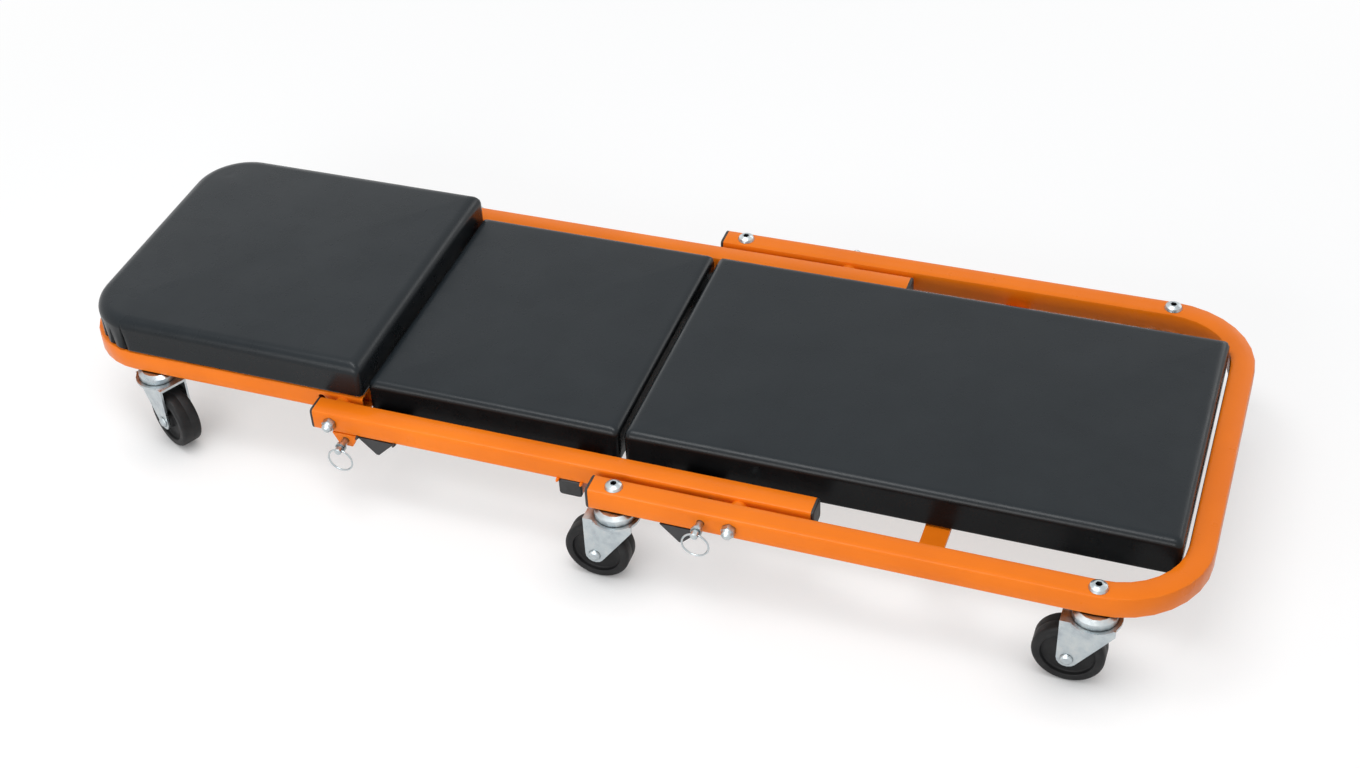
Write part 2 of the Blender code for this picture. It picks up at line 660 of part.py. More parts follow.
def build_foot_frame(paint, stop_paint, plastic, zinc, cover, wood, caster_x):
    holes = []
    for way in WAYS:
        holes.append(cross_hole(FOLD_X, way * FOOT_HALF, AXIS_Z, BORE, TUBE))
        for row in ("middle", "foot"):
            holes.append(upright_hole(caster_x[row], way * FOOT_HALF, AXIS_Z, STEM_RADIUS + FIT,
                                      TUBE))
    flat_pin_x = FOLD_X - FLAT_PIN_BACK
    holes.append(cross_hole(flat_pin_x, -FOOT_HALF, AXIS_Z, PIN_BORE, TUBE))
    stations = u_stations(FOOT_OPEN_X, FOOT_END_X, FOOT_HALF, FOOT_BEND)
    bored_tube("foot_frame", stations, Vector((FOLD_X, 0.0, AXIS_Z)), [], holes, paint)
    for side, way in SIDES:
        end_cap("foot_cap_" + side, FOOT_OPEN_X, way * FOOT_HALF, AXIS_Z, -1.0, X_AXIS, HALF, HALF,
                plastic)
    stop_bar("foot_stop_bar", FOLD_X - STOP_REACH, -1.0, FOOT_HALF + HALF, stop_paint)
    strap_half = STRAP_WIDTH / 2.0
    strap_side = FOOT_HALF + HALF - STRAP_INSET
    strap = [Vector((STRAP_X - strap_half, -strap_side, BAR_TOP)),
             Vector((STRAP_X + strap_half, -strap_side, BAR_TOP)),
             Vector((STRAP_X + strap_half, strap_side, BAR_TOP)),
             Vector((STRAP_X - strap_half, strap_side, BAR_TOP))]
    add_part("foot_strap", prism(strap, -STRAP_THICK, 0.0, Z_AXIS), Vector((STRAP_X, 0.0, BAR_TOP)),
             paint)
    pad("foot", MID_PAD_FOOT_X + PAD_FOOT_GAP, FOOT_END_X - HALF - FOOT_PAD_END_GAP, PAD_HALF,
        CASTER_HEIGHT, PAD_CORNER, cover, wood)
    pivot_set("fold", FOLD_X, FOOT_HALF, MID_HALF, zinc)
    lock_pin("flat_lock", flat_pin_x, AXIS_Z, -FOOT_HALF - HALF, -MID_HALF - HALF - PIN_REST, zinc)


def build_mid_frame(paint, stop_paint, plastic, zinc, cover, wood, pivot):
    for side, way in SIDES:
        y = way * MID_HALF
        holes = [cross_hole(FOLD_X, y, AXIS_Z, BORE, TUBE), cross_hole(HEAD_X, y, AXIS_Z, BORE, TUBE)]
        if side == "right":
            holes.append(cross_hole(FOLD_X - FLAT_PIN_BACK, y - HALF, AXIS_Z, PIN_BORE, HALF))
        low_x = HEAD_X - MID_NOSE
        high_x = FOLD_X + MID_TAIL
        stations = [(Vector((low_x, y, AXIS_Z)), Y_AXIS), (Vector((high_x, y, AXIS_Z)), Y_AXIS)]
        bored_tube("mid_rail_" + side, stations, Vector((FOLD_X, y, AXIS_Z)),
                   [pivot_boss(FOLD_X, MID_HALF, way)], holes, paint, pivot)
        end_cap("mid_head_cap_" + side, low_x, y, AXIS_Z, -1.0, X_AXIS, HALF, HALF, plastic, pivot)
        end_cap("mid_foot_cap_" + side, high_x, y, AXIS_Z, 1.0, X_AXIS, HALF, HALF, plastic, pivot)
        end_cap("crossbar_cap_" + side, CROSSBAR_X, way * (MID_HALF + HALF - CAP_FLANGE - FIT),
                BAR_TOP - CROSSBAR_HEIGHT / 2.0, way, Y_AXIS, CROSSBAR_WIDTH / 2.0,
                CROSSBAR_HEIGHT / 2.0, plastic, pivot)
    stop_bar("mid_stop_bar", HEAD_X + STOP_REACH, 1.0, MID_HALF + HALF, stop_paint, pivot)
    bar_end = MID_HALF + HALF - CAP_FLANGE - FIT
    rings = []
    for shrink, ends in ((0.0, (-bar_end, bar_end)), (TUBE_WALL, (bar_end, -bar_end))):
        for y in ends:
            middle = Vector((CROSSBAR_X, y, BAR_TOP - CROSSBAR_HEIGHT / 2.0))
            rings.append(rounded_ring(middle, X_AXIS, Z_AXIS, CROSSBAR_WIDTH / 2.0 - shrink,
                                      CROSSBAR_HEIGHT / 2.0 - shrink, TUBE_CORNER - shrink))
    add_part("mid_crossbar", loft(rings, wrap=True), Vector((CROSSBAR_X, 0.0, BAR_TOP)), paint, pivot)
    pad("mid", HEAD_PAD_FOOT_X + PAD_JOIN, MID_PAD_FOOT_X, PAD_HALF, CASTER_HEIGHT, PAD_CORNER,
        cover, wood, pivot)
    pivot_set("head", HEAD_X, MID_HALF, HEAD_HALF, zinc, pivot)
    pin_x = HEAD_X + SEAT_PIN_FORWARD
    pin_z = AXIS_Z - SEAT_PIN_DROP
    outer_y = -MID_HALF - HALF
    low = pin_z - TAB_EDGE
    outline = [Vector((pin_x - TAB_EDGE - TAB_FLARE, 0.0, BAR_TOP)),
               Vector((pin_x - TAB_EDGE, 0.0, low)), Vector((pin_x + TAB_EDGE, 0.0, low)),
               Vector((HEAD_X + STOP_REACH - FIT, 0.0, BAR_TOP))]
    tab = add_part("seat_lock_tab", prism(outline, outer_y, outer_y + TAB_THICK, Y_AXIS),
                   Vector((pin_x, outer_y, pin_z)), paint, pivot)
    carve(tab, cross_hole(pin_x, outer_y, pin_z, PIN_BORE, 2.0 * TAB_THICK))
    lock_pin("seat_lock", pin_x, pin_z, outer_y, -HEAD_HALF - HALF - PIN_REST, zinc, pivot)


def build_head_frame(paint, cover, wood, pivot, caster_x):
    holes = []
    welds = []
    for way in WAYS:
        holes.append(cross_hole(HEAD_X, way * (HEAD_HALF + SIDE_GAP / 2.0), AXIS_Z, BORE, TUBE))
        holes.append(upright_hole(caster_x["head"], way * HEAD_HALF, AXIS_Z, STEM_RADIUS + FIT, TUBE))
        welds.append(pivot_boss(HEAD_X, HEAD_HALF, way))
    back = Matrix.Rotation(FOLD_ANGLE, 3, "Y")
    seat_hole = back @ Vector((SEAT_PIN_FORWARD, 0.0, -SEAT_PIN_DROP))
    holes.append(cross_hole(HEAD_X + seat_hole.x, -HEAD_HALF - HALF, AXIS_Z + seat_hole.z, PIN_BORE,
                            HALF))
    stations = u_stations(HEAD_X + HEAD_TAIL, HEAD_END_X, HEAD_HALF, HEAD_BEND)
    bored_tube("head_frame", stations, Vector((HEAD_X, 0.0, AXIS_Z)), welds, holes, paint, pivot)
    floor_z = TUBE_TOP + FIT
    for piece in pad("head", HEAD_END_X, HEAD_PAD_FOOT_X, HEAD_PAD_HALF, floor_z, HEAD_PAD_CORNER,
                     cover, wood, pivot):
        pockets = [upright_hole(caster_x["head"], way * HEAD_HALF, floor_z, STEM_HEAD_RADIUS + FIT,
                                STEM_HEAD + FIT) for way in WAYS]
        carve(piece, join_forms(pockets))


def smooth_round_faces():
    for part in bpy.data.objects:
        if part.type == "MESH":
            part.data.shade_smooth()
            part.data.set_sharp_from_angle(angle=SMOOTH_ANGLE)


def build():
    clear_scene()
    made = {name: make_material(name, *finish) for name, finish in FINISHES.items()}
    orange = made["orange_paint"]
    black_paint = made["black_paint"]
    plastic = made["black_plastic"]
    zinc = made["zinc_plate"]
    vinyl = made["charcoal_vinyl"]
    wood = made["plywood"]
    tread = made["black_tread"]

    mid_pivot = add_pivot("mid_fold_pivot", Vector((FOLD_X, 0.0, AXIS_Z)))
    head_pivot = add_pivot("head_fold_pivot", Vector((HEAD_X, 0.0, AXIS_Z)), mid_pivot)
    caster_x = {"head": HEAD_END_X + HEAD_BEND + HEAD_CASTER_FROM_BEND,
                "middle": FOOT_OPEN_X + CASTER_FROM_END, "foot": FOOT_END_X - FOOT_BEND}
    build_foot_frame(orange, black_paint, plastic, zinc, vinyl, wood, caster_x)
    build_mid_frame(orange, black_paint, plastic, zinc, vinyl, wood, mid_pivot)
    build_head_frame(orange, vinyl, wood, head_pivot, caster_x)

    fork, axle_z = fork_mesh(zinc)
    for row, half, parent in (("head", HEAD_HALF, head_pivot), ("middle", FOOT_HALF, None),
                              ("foot", FOOT_HALF, None)):
        for side, way in SIDES:
            caster(row + "_" + side, caster_x[row], way * half, fork, axle_z, zinc, tread, parent)
    bpy.data.objects.remove(fork, do_unlink=True)
    smooth_round_faces()


build()
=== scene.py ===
"""Looks of a folding mechanic's creeper: finishes, stuffed pads, wheels, small trim, stage and camera."""
import json
import math

import bmesh
import bpy
import numpy as np
from mathutils import Matrix, Vector, noise


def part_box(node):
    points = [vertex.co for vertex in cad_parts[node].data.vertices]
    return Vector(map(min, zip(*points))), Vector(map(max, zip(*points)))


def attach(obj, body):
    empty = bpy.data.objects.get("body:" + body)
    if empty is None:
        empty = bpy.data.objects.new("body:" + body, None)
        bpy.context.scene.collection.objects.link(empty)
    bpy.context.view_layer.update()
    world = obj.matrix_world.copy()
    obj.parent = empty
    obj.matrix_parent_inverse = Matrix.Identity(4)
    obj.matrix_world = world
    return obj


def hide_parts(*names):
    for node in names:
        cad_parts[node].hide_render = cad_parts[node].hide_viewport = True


MM = 0.001
TINY = 1e-9
UP = Vector((0.0, 0.0, 1.0))
DOWN = Vector((0.0, 0.0, -1.0))
WHITE = (1.0, 1.0, 1.0, 1.0)
NO_COLOUR = (0.0, 0.0, 0.0)

# Camera, fitted to the photograph: place, turn about the upright axis, downward tilt, roll and lens.
CAMERA_PLACE = Vector((0.66812, -1.63973, 1.52637))
CAMERA_PAN = math.radians(-25.742)
CAMERA_TILT = math.radians(38.499)
CAMERA_ROLL = math.radians(6.069)
CAMERA_LENS = 55.0
CAMERA_SENSOR = 36.0
CAMERA_SHIFT = (0.1046, -0.0205)

# Floor: its colour for bounced light, its colour and glow where it is looked at, the distances between which
# it fades to white, and the reach, start and least glow of the painted shade where wheels touch it.
FLOOR_SIZE = 14.0
FLOOR_CELLS = 4
FLOOR_COLOUR = (0.80, 0.80, 0.80, 1.0)
FLOOR_SHOWN = (0.45, 0.45, 0.45)
FLOOR_ROUGHNESS = 0.9
FLOOR_GLOW = 0.57
FLOOR_FADE = (0.75, 1.7)
CONTACT_REACH = 70.0 * MM
CONTACT_FROM = 0.2
CONTACT_LOW = 0.15
CONTACT_SAMPLES = 16

# Light: the sky, then each lamp's name, place, aim, size and power.
SKY_COLOUR = (0.95, 0.975, 1.0, 1.0)
SKY_STRENGTH = 0.45
LAMPS = (
    ("overhead", (-0.2, -0.45, 2.6), (0.0, 0.0, 0.1), (2.0, 0.9), 34.0),
    ("front", (-0.4, -2.6, 1.15), (-0.1, 0.0, 0.1), (2.2, 1.2), 34.0),
    ("rim_foot", (1.5, 2.3, 1.1), (0.1, 0.0, 0.1), (1.5, 0.9), 8.5),
    ("rim_head", (-2.0, 2.1, 0.75), (-0.1, 0.0, 0.1), (1.5, 0.9), 3.0),
)

# Tones of the finishes: stops of a texture's value with the colour there, and single colours laid over them.
ORANGE_TONES = ((0.3, (0.80, 0.172, 0.005)), (0.55, (0.86, 0.192, 0.006)), (0.75, (0.90, 0.208, 0.008)))
# Orange laid on the edges: rubbed paint and a painted highlight.
ORANGE_WEAR_AND_HIGHLIGHT = (0.94, 0.30, 0.045)
BLACK_TONES = ((0.3, (0.014, 0.014, 0.015)), (0.7, (0.026, 0.026, 0.028)))
BLACK_RUBBED = (0.10, 0.10, 0.105)
PLASTIC_TONES = ((0.3, (0.012, 0.012, 0.012)), (0.7, (0.022, 0.022, 0.023)))
ZINC_TONES = ((0.3, (0.38, 0.42, 0.45)), (0.5, (0.49, 0.54, 0.56)), (0.72, (0.58, 0.61, 0.61)))
# Zinc: colour of the painted shade in recesses, and how far that shade reaches.
ZINC_PAINTED_SHADE = (0.03, 0.03, 0.032)
ZINC_NOOK = 6.0 * MM
# Vinyl: tones of the painted light on the top and the painted shade on the sides, and the top's specular level.
LIT_TOP_VINYL_TONES = ((0.3, (0.0098, 0.0138, 0.0172)), (0.7, (0.0132, 0.0176, 0.0212)))
SHADED_SIDE_VINYL_TONES = ((0.3, (0.0040, 0.0045, 0.0050)), (0.7, (0.0065, 0.0070, 0.0075)))
VINYL_TOP_SHEEN = 0.23
PLYWOOD_TONES = ((0.25, (0.36, 0.23, 0.115)), (0.5, (0.52, 0.36, 0.20)), (0.75, (0.63, 0.47, 0.29)))
PLYWOOD_PORES = (0.22, 0.13, 0.06)
TREAD_TONES = ((0.3, (0.008, 0.008, 0.0085)), (0.62, (0.015, 0.015, 0.0155)), (0.8, (0.026, 0.025, 0.024)))

# Places of the colour sockets of a mix node.
MIX_FIRST, MIX_SECOND, MIX_RESULT = 6, 7, 2

# Shading of the CAD nodes: corners closer than this are one, and edges sharper than this stay sharp.
WELD_DISTANCE = 0.005 * MM
SHARP_ANGLE = math.radians(32.0)

# Pads: the slack start of the cloth, and how far it may move.
PAD_VOXEL = 5.0 * MM
PAD_START_INSET = -1.8 * MM
PAD_START_DROP = 2.0 * MM
PAD_START_BELOW = 3.0 * MM
PAD_HELD = 9.0 * MM
PAD_PRESSURE = 4.0
PAD_FRAMES = 20
PAD_SWELL = 5.0 * MM
PAD_DRAWN = 0.8 * MM

# Form that the pads are pressed to: rounding of the top edge, corners seen from above, crown, and hold.
PAD_ROUND = 8.5 * MM
HEAD_PAD_ROUND = 13.0 * MM
PAD_ROUND_STEPS = 5
PAD_CORNER = 6.0 * MM
HEAD_PAD_CORNER = 64.0 * MM
PAD_CORNER_STEPS = 10
PAD_CROWN = 2.0 * MM
PAD_PRESS = 0.96
PAD_PRESS_START = 24.0 * MM
PAD_PRESS_RUN = 40.0 * MM
PAD_MARGIN = 0.2 * MM
PAD_TURN = 3.0 * MM
PAD_WAIST = 0.6 * MM
PAD_WAIST_RUN = 90.0 * MM
PAD_WAIST_DEPTH = 15.0 * MM
PAD_WAVE = 0.45 * MM
PAD_WAVE_SCALE = 13.0
PAD_WAVE_EDGE = 25.0 * MM
BOARD_THICK = 9.0 * MM
BOARD_INSET = 6.3 * MM

# Foot pad's end, squeezed out: how far, up to which share of its height, and where it fades sideways.
FOOT_BULGE = 3.3 * MM
BULGE_RISE = 0.55
BULGE_HALF = 105.0 * MM
BULGE_FADE = 45.0 * MM

# Gathers round the head pad's big corners. Shift and reach vary from notch to notch along a sine.
PLEATS = 6
PLEAT_DEPTH = 5.4 * MM
PLEAT_HALF = 3.7 * MM
PLEAT_TIP = PLEAT_HALF / 10.0
PLEAT_SHIFT = 0.18
PLEAT_SHIFT_RATE = 7.3
PLEAT_REACH = 0.66
PLEAT_REACH_VARIES = 0.16
PLEAT_REACH_RATE = 4.1
PLEAT_REACH_PHASE = 1.3
PLEAT_FOLD = 1.2 * MM
PLEAT_FOLD_REACH = 0.8
PLEAT_SKIN = 9.0 * MM
PLEAT_CUTS = 2
PLEAT_TOP = 0.84

# Hem of the cover under each board, and the staples that hold it.
HEM_EDGE = 3.6 * MM
HEM_TOP = 0.02 * MM
HEM_BOTTOM = 0.26 * MM
HEM_WIDTH = 24.0 * MM
HEAD_HEM_WIDTH = 42.0 * MM
HEM_WAVE = 1.6 * MM
HEM_WAVE_SCALE = 22.0
HEM_STEPS = 24
HEM_CORNER = 2.0 * MM
STAPLE_LENGTH = 10.0 * MM
STAPLE_WIDTH = 1.2 * MM
STAPLE_THICK = 0.6 * MM
STAPLE_CREST = 0.7
STAPLE_BEND = 8
STAPLE_FROM_HEM = 9.0 * MM
STAPLE_SPACING = 34.0 * MM
STAPLE_STEPS = 8
STAPLE_SKEW = 0.25
STAPLE_SKEW_SCALE = 90.0
BAR_CLEAR = 8.0 * MM

# Weld beads where bars meet the underside of the tubes.
TUBE = 25.0 * MM
WELD_RADIUS = 1.8 * MM
WELD_END = 3.5 * MM
WELD_OFFSET = 0.5 * MM
WELD_RIPPLE = 0.14
WELD_PITCH = 2.6 * MM
WELD_STEP = 0.65 * MM
WELD_SIDES = 10
WELD_TIP = 0.25
WELD_TAPER = 4.0

# Wheels: half width, dished web and hub of each side, and steps round the rim.
WHEEL_HALF = 12.5 * MM
WHEEL_SHOULDER = 4.0 * MM
WHEEL_BEND = WHEEL_SHOULDER / 4.0
WHEEL_RIM = 26.0 * MM
WHEEL_WEB = 7.5 * MM
HUB_RADIUS = 10.0 * MM
HUB_HALF = 14.2 * MM
BORE_RADIUS = 4.3 * MM
WHEEL_STEPS = 72
SHOULDER_STEPS = 7


def add_node(tree, kind, sockets=None, **settings):
    """New shader node with its settings and the values of its sockets."""
    node = tree.nodes.new(kind)
    for name, value in settings.items():
        setattr(node, name, value)
    for name, value in (sockets or {}).items():
        node.inputs[name].default_value = value
    return node


def link(tree, source, target):
    """Join an output socket to an input socket."""
    tree.links.new(source, target)


def new_material(name):
    """New material with its node tree and its main shader."""
    made = bpy.data.materials.new(name)
    made.use_nodes = True
    return made, made.node_tree, made.node_tree.nodes["Principled BSDF"]


def rest_place(tree, stretch=(1.0, 1.0, 1.0)):
    """Place on the piece at rest, in metres, stretched along its axes."""
    place = add_node(tree, "ShaderNodeTexCoord")
    mapping = add_node(tree, "ShaderNodeMapping", {"Scale": stretch})
    link(tree, place.outputs["Object"], mapping.inputs["Vector"])
    return mapping.outputs["Vector"]


def speckle(tree, place, scale, detail=3.0, roughness=0.5):
    """Cloudy noise about a half."""
    made = add_node(tree, "ShaderNodeTexNoise",
                    {"Scale": scale, "Detail": detail, "Roughness": roughness})
    link(tree, place, made.inputs["Vector"])
    return made.outputs["Fac"]


def ramp(tree, value, stops):
    """Colours between stops of a value, each stop a place and a colour."""
    made = add_node(tree, "ShaderNodeValToRGB")
    band = made.color_ramp
    while len(band.elements) < len(stops):
        band.elements.new(1.0)
    for element, (place, colour) in zip(band.elements, stops):
        element.position = place
        element.color = (*colour, 1.0)
    link(tree, value, made.inputs["Fac"])
    return made.outputs["Color"]


def spread(tree, value, low, high, from_low=0.3, from_high=0.7):
    """The value of a texture, stretched to lie between two numbers."""
    made = add_node(tree, "ShaderNodeMapRange", {"From Min": from_low, "From Max": from_high,
                                                  "To Min": low, "To Max": high})
    link(tree, value, made.inputs["Value"])
    return made.outputs["Result"]


def bump(tree, height, strength, distance, under=None):
    """Normals of a rough surface, laid over other normals where they are given."""
    made = add_node(tree, "ShaderNodeBump", {"Strength": strength, "Distance": distance})
    link(tree, height, made.inputs["Height"])
    if under is not None:
        link(tree, under, made.inputs["Normal"])
    return made.outputs["Normal"]


def edge_mask(tree, radius, low, high):
    """One along the edges of a piece and zero on its flats."""
    rounded = add_node(tree, "ShaderNodeBevel", {"Radius": radius}, samples=6)
    flat = add_node(tree, "ShaderNodeNewGeometry")
    agree = add_node(tree, "ShaderNodeVectorMath", operation="DOT_PRODUCT")
    link(tree, rounded.outputs["Normal"], agree.inputs[0])
    link(tree, flat.outputs["Normal"], agree.inputs[1])
    return spread(tree, agree.outputs["Value"], low=1.0, high=0.0, from_low=low, from_high=high)


def blend_colours(tree, share, first, second):
    """Mix of two colours, each a plain colour or a socket."""
    made = add_node(tree, "ShaderNodeMix", data_type="RGBA")
    link(tree, share, made.inputs["Factor"])
    for source, target in ((first, made.inputs[MIX_FIRST]), (second, made.inputs[MIX_SECOND])):
        if isinstance(source, tuple):
            target.default_value = (*source, 1.0)
        else:
            link(tree, source, target)
    return made.outputs[MIX_RESULT]


def product(tree, first, second):
    """Product of two values."""
    made = add_node(tree, "ShaderNodeMath", operation="MULTIPLY")
    link(tree, first, made.inputs[0])
    link(tree, second, made.inputs[1])
    return made.outputs["Value"]


def orange_powder_coat():
    """Glossy powder coat with orange peel, cloudy tone, and lighter edges: partly rubbed paint, partly a painted
    highlight.
    """
    made, tree, shader = new_material("orange_powder_coat")
    place = rest_place(tree)
    cloud = ramp(tree, speckle(tree, place, scale=9.0, detail=4.0), ORANGE_TONES)
    grit = speckle(tree, place, scale=700.0, detail=2.0)
    wear = speckle(tree, place, scale=55.0, detail=5.0)
    # Lighter orange along the edges where the noise allows: partly wear, partly a painted highlight.
    lighter_edges = product(tree, edge_mask(tree, radius=1.6 * MM, low=0.80, high=0.99),
                     spread(tree, wear, low=0.0, high=1.0, from_low=0.42, from_high=0.62))
    link(tree, blend_colours(tree, lighter_edges, cloud, ORANGE_WEAR_AND_HIGHLIGHT), shader.inputs["Base Color"])
    gloss = speckle(tree, place, scale=30.0, detail=5.0)
    link(tree, spread(tree, gloss, low=0.26, high=0.40), shader.inputs["Roughness"])
    peel = bump(tree, speckle(tree, place, scale=420.0, detail=2.0), strength=0.10, distance=0.4 * MM)
    link(tree, bump(tree, grit, strength=0.06, distance=0.15 * MM, under=peel), shader.inputs["Normal"])
    shader.inputs["Specular IOR Level"].default_value = 0.2
    shader.inputs["Coat Weight"].default_value = 0.05
    shader.inputs["Coat Roughness"].default_value = 0.12
    return made


def black_powder_coat():
    """Satin black paint with fine texture and rubbed grey edges."""
    made, tree, shader = new_material("black_powder_coat")
    place = rest_place(tree)
    tone = ramp(tree, speckle(tree, place, scale=40.0, detail=4.0), BLACK_TONES)
    wear = speckle(tree, place, scale=90.0, detail=4.0)
    lighter_edges = product(tree, edge_mask(tree, radius=1.2 * MM, low=0.75, high=0.99),
                     spread(tree, wear, low=0.0, high=0.8, from_low=0.45, from_high=0.7))
    link(tree, blend_colours(tree, lighter_edges, tone, BLACK_RUBBED), shader.inputs["Base Color"])
    gloss = speckle(tree, place, scale=60.0, detail=4.0)
    link(tree, spread(tree, gloss, low=0.38, high=0.58), shader.inputs["Roughness"])
    texture = speckle(tree, place, scale=900.0, detail=2.0)
    link(tree, bump(tree, texture, strength=0.18, distance=0.2 * MM), shader.inputs["Normal"])
    return made


def moulded_plastic():
    """Matte black plastic with spark-eroded grain."""
    made, tree, shader = new_material("moulded_plastic")
    place = rest_place(tree)
    tone = ramp(tree, speckle(tree, place, scale=120.0), PLASTIC_TONES)
    link(tree, tone, shader.inputs["Base Color"])
    gloss = speckle(tree, place, scale=200.0)
    link(tree, spread(tree, gloss, low=0.45, high=0.62), shader.inputs["Roughness"])
    grain = speckle(tree, place, scale=1400.0, detail=2.0)
    link(tree, bump(tree, grain, strength=0.25, distance=0.15 * MM), shader.inputs["Normal"])
    return made


def bright_zinc():
    """Bright zinc plate: metal with a bluish, mottled skin, faint rolling marks and painted shade in its recesses.
    """
    made, tree, shader = new_material("bright_zinc")
    place = rest_place(tree)
    skin = ramp(tree, speckle(tree, place, scale=70.0, detail=4.0, roughness=0.6), ZINC_TONES)
    # Painted shade: the skin darkens to near black in recesses such as bolt sockets.
    nook = add_node(tree, "ShaderNodeAmbientOcclusion", {"Distance": ZINC_NOOK}, samples=8)
    clear = spread(tree, nook.outputs["AO"], low=0.0, high=1.0, from_low=0.35, from_high=0.8)
    link(tree, blend_colours(tree, clear, ZINC_PAINTED_SHADE, skin), shader.inputs["Base Color"])
    shader.inputs["Metallic"].default_value = 1.0
    gloss = speckle(tree, place, scale=160.0, detail=5.0, roughness=0.6)
    link(tree, spread(tree, gloss, low=0.24, high=0.44), shader.inputs["Roughness"])
    marks = speckle(tree, rest_place(tree, stretch=(120.0, 120.0, 1500.0)), scale=1.0)
    link(tree, bump(tree, marks, strength=0.05, distance=0.1 * MM), shader.inputs["Normal"])
    return made


def charcoal_vinyl(name, lit_from, side_sheen):
    """Satin vinyl: pebbled grain with fine pores, with painted light and shade: lighter on the top, blacker and
    less shiny on the sides.
    """
    made, tree, shader = new_material(name)
    place = rest_place(tree)
    # Painted light and shade: a lighter tone on the top and a blacker one on the sides, chosen by which way the
    # surface faces.
    lit_top = ramp(tree, speckle(tree, place, scale=14.0, detail=5.0), LIT_TOP_VINYL_TONES)
    shaded_side = ramp(tree, speckle(tree, place, scale=30.0, detail=4.0), SHADED_SIDE_VINYL_TONES)
    side = add_node(tree, "ShaderNodeTexCoord")
    split = add_node(tree, "ShaderNodeSeparateXYZ")
    link(tree, side.outputs["Normal"], split.inputs["Vector"])
    upward = spread(tree, split.outputs["Z"], low=0.0, high=1.0, from_low=lit_from, from_high=0.95)
    link(tree, blend_colours(tree, upward, shaded_side, lit_top), shader.inputs["Base Color"])
    gloss = speckle(tree, place, scale=45.0, detail=5.0)
    link(tree, spread(tree, gloss, low=0.24, high=0.34), shader.inputs["Roughness"])
    pebbles = add_node(tree, "ShaderNodeTexVoronoi", {"Scale": 620.0}, feature="SMOOTH_F1")
    link(tree, place, pebbles.inputs["Vector"])
    grain = bump(tree, pebbles.outputs["Distance"], strength=0.22, distance=0.2 * MM)
    fine = speckle(tree, place, scale=1500.0, detail=2.0)
    pores = bump(tree, fine, strength=0.10, distance=0.1 * MM, under=grain)
    ripple = speckle(tree, place, scale=24.0)
    link(tree, bump(tree, ripple, strength=0.10, distance=1.2 * MM, under=pores), shader.inputs["Normal"])
    # Painted shade: the specular level is lower on the sides than on the top.
    sheen = spread(tree, split.outputs["Z"], low=side_sheen, high=VINYL_TOP_SHEEN,
                   from_low=0.02, from_high=0.35)
    link(tree, sheen, shader.inputs["Specular IOR Level"])
    return made


def raw_plywood():
    """Rotary-cut veneer: long wavy grain along the bed with darker pores."""
    made, tree, shader = new_material("raw_plywood")
    place = rest_place(tree, stretch=(6.0, 55.0, 55.0))
    figure = speckle(tree, place, scale=1.0, detail=6.0, roughness=0.62)
    tone = ramp(tree, figure, PLYWOOD_TONES)
    pores = speckle(tree, rest_place(tree, stretch=(60.0, 900.0, 900.0)), scale=1.0)
    dark = spread(tree, pores, low=0.0, high=0.55, from_low=0.56, from_high=0.72)
    link(tree, blend_colours(tree, dark, tone, PLYWOOD_PORES), shader.inputs["Base Color"])
    link(tree, spread(tree, figure, low=0.62, high=0.8), shader.inputs["Roughness"])
    link(tree, bump(tree, pores, strength=0.2, distance=0.3 * MM), shader.inputs["Normal"])
    return made


def black_tread():
    """Hard black wheel: dull moulded tread with dust in its texture."""
    made, tree, shader = new_material("black_tread")
    place = rest_place(tree)
    tone = ramp(tree, speckle(tree, place, scale=60.0, detail=5.0), TREAD_TONES)
    link(tree, tone, shader.inputs["Base Color"])
    gloss = speckle(tree, place, scale=90.0, detail=5.0)
    link(tree, spread(tree, gloss, low=0.42, high=0.62), shader.inputs["Roughness"])
    texture = speckle(tree, place, scale=800.0)
    link(tree, bump(tree, texture, strength=0.2, distance=0.2 * MM), shader.inputs["Normal"])
    shader.inputs["Specular IOR Level"].default_value = 0.22
    return made


def weld_and_smooth():
    """Geometry nodes that join the CAD's loose triangles and shade them smooth up to sharp edges."""
    tree = bpy.data.node_groups.new("weld_and_smooth", "GeometryNodeTree")
    tree.interface.new_socket("Geometry", in_out="INPUT", socket_type="NodeSocketGeometry")
    tree.interface.new_socket("Geometry", in_out="OUTPUT", socket_type="NodeSocketGeometry")
    source = add_node(tree, "NodeGroupInput")
    weld = add_node(tree, "GeometryNodeMergeByDistance", {"Distance": WELD_DISTANCE})
    forget = add_node(tree, "GeometryNodeRemoveAttribute", {"Name": "custom_normal"})
    faces = add_node(tree, "GeometryNodeSetShadeSmooth", {"Shade Smooth": True}, domain="FACE")
    angle = add_node(tree, "GeometryNodeInputMeshEdgeAngle")
    sharp = add_node(tree, "FunctionNodeCompare", {"B": SHARP_ANGLE}, operation="GREATER_THAN")
    edges = add_node(tree, "GeometryNodeSetShadeSmooth", {"Shade Smooth": False}, domain="EDGE")
    target = add_node(tree, "NodeGroupOutput")
    chain = (source, weld, forget, faces, edges, target)
    for before, after in zip(chain, chain[1:]):
        link(tree, before.outputs[0], after.inputs[0])
    link(tree, angle.outputs["Unsigned Angle"], sharp.inputs["A"])
    link(tree, sharp.outputs["Result"], edges.inputs["Selection"])
    return tree


def dress_nodes(frame, finishes):
    """Give every CAD node the finish of its slot in the record, and smooth its round faces."""
    group = weld_and_smooth()
    for row in frame["record"]["subparts"]:
        node = frame["nodes"][row["node"]]
        node.data.materials.clear()
        node.data.materials.append(finishes[row["material_slot"]])
        shading = node.modifiers.new("shading", "NODES")
        shading.node_group = group


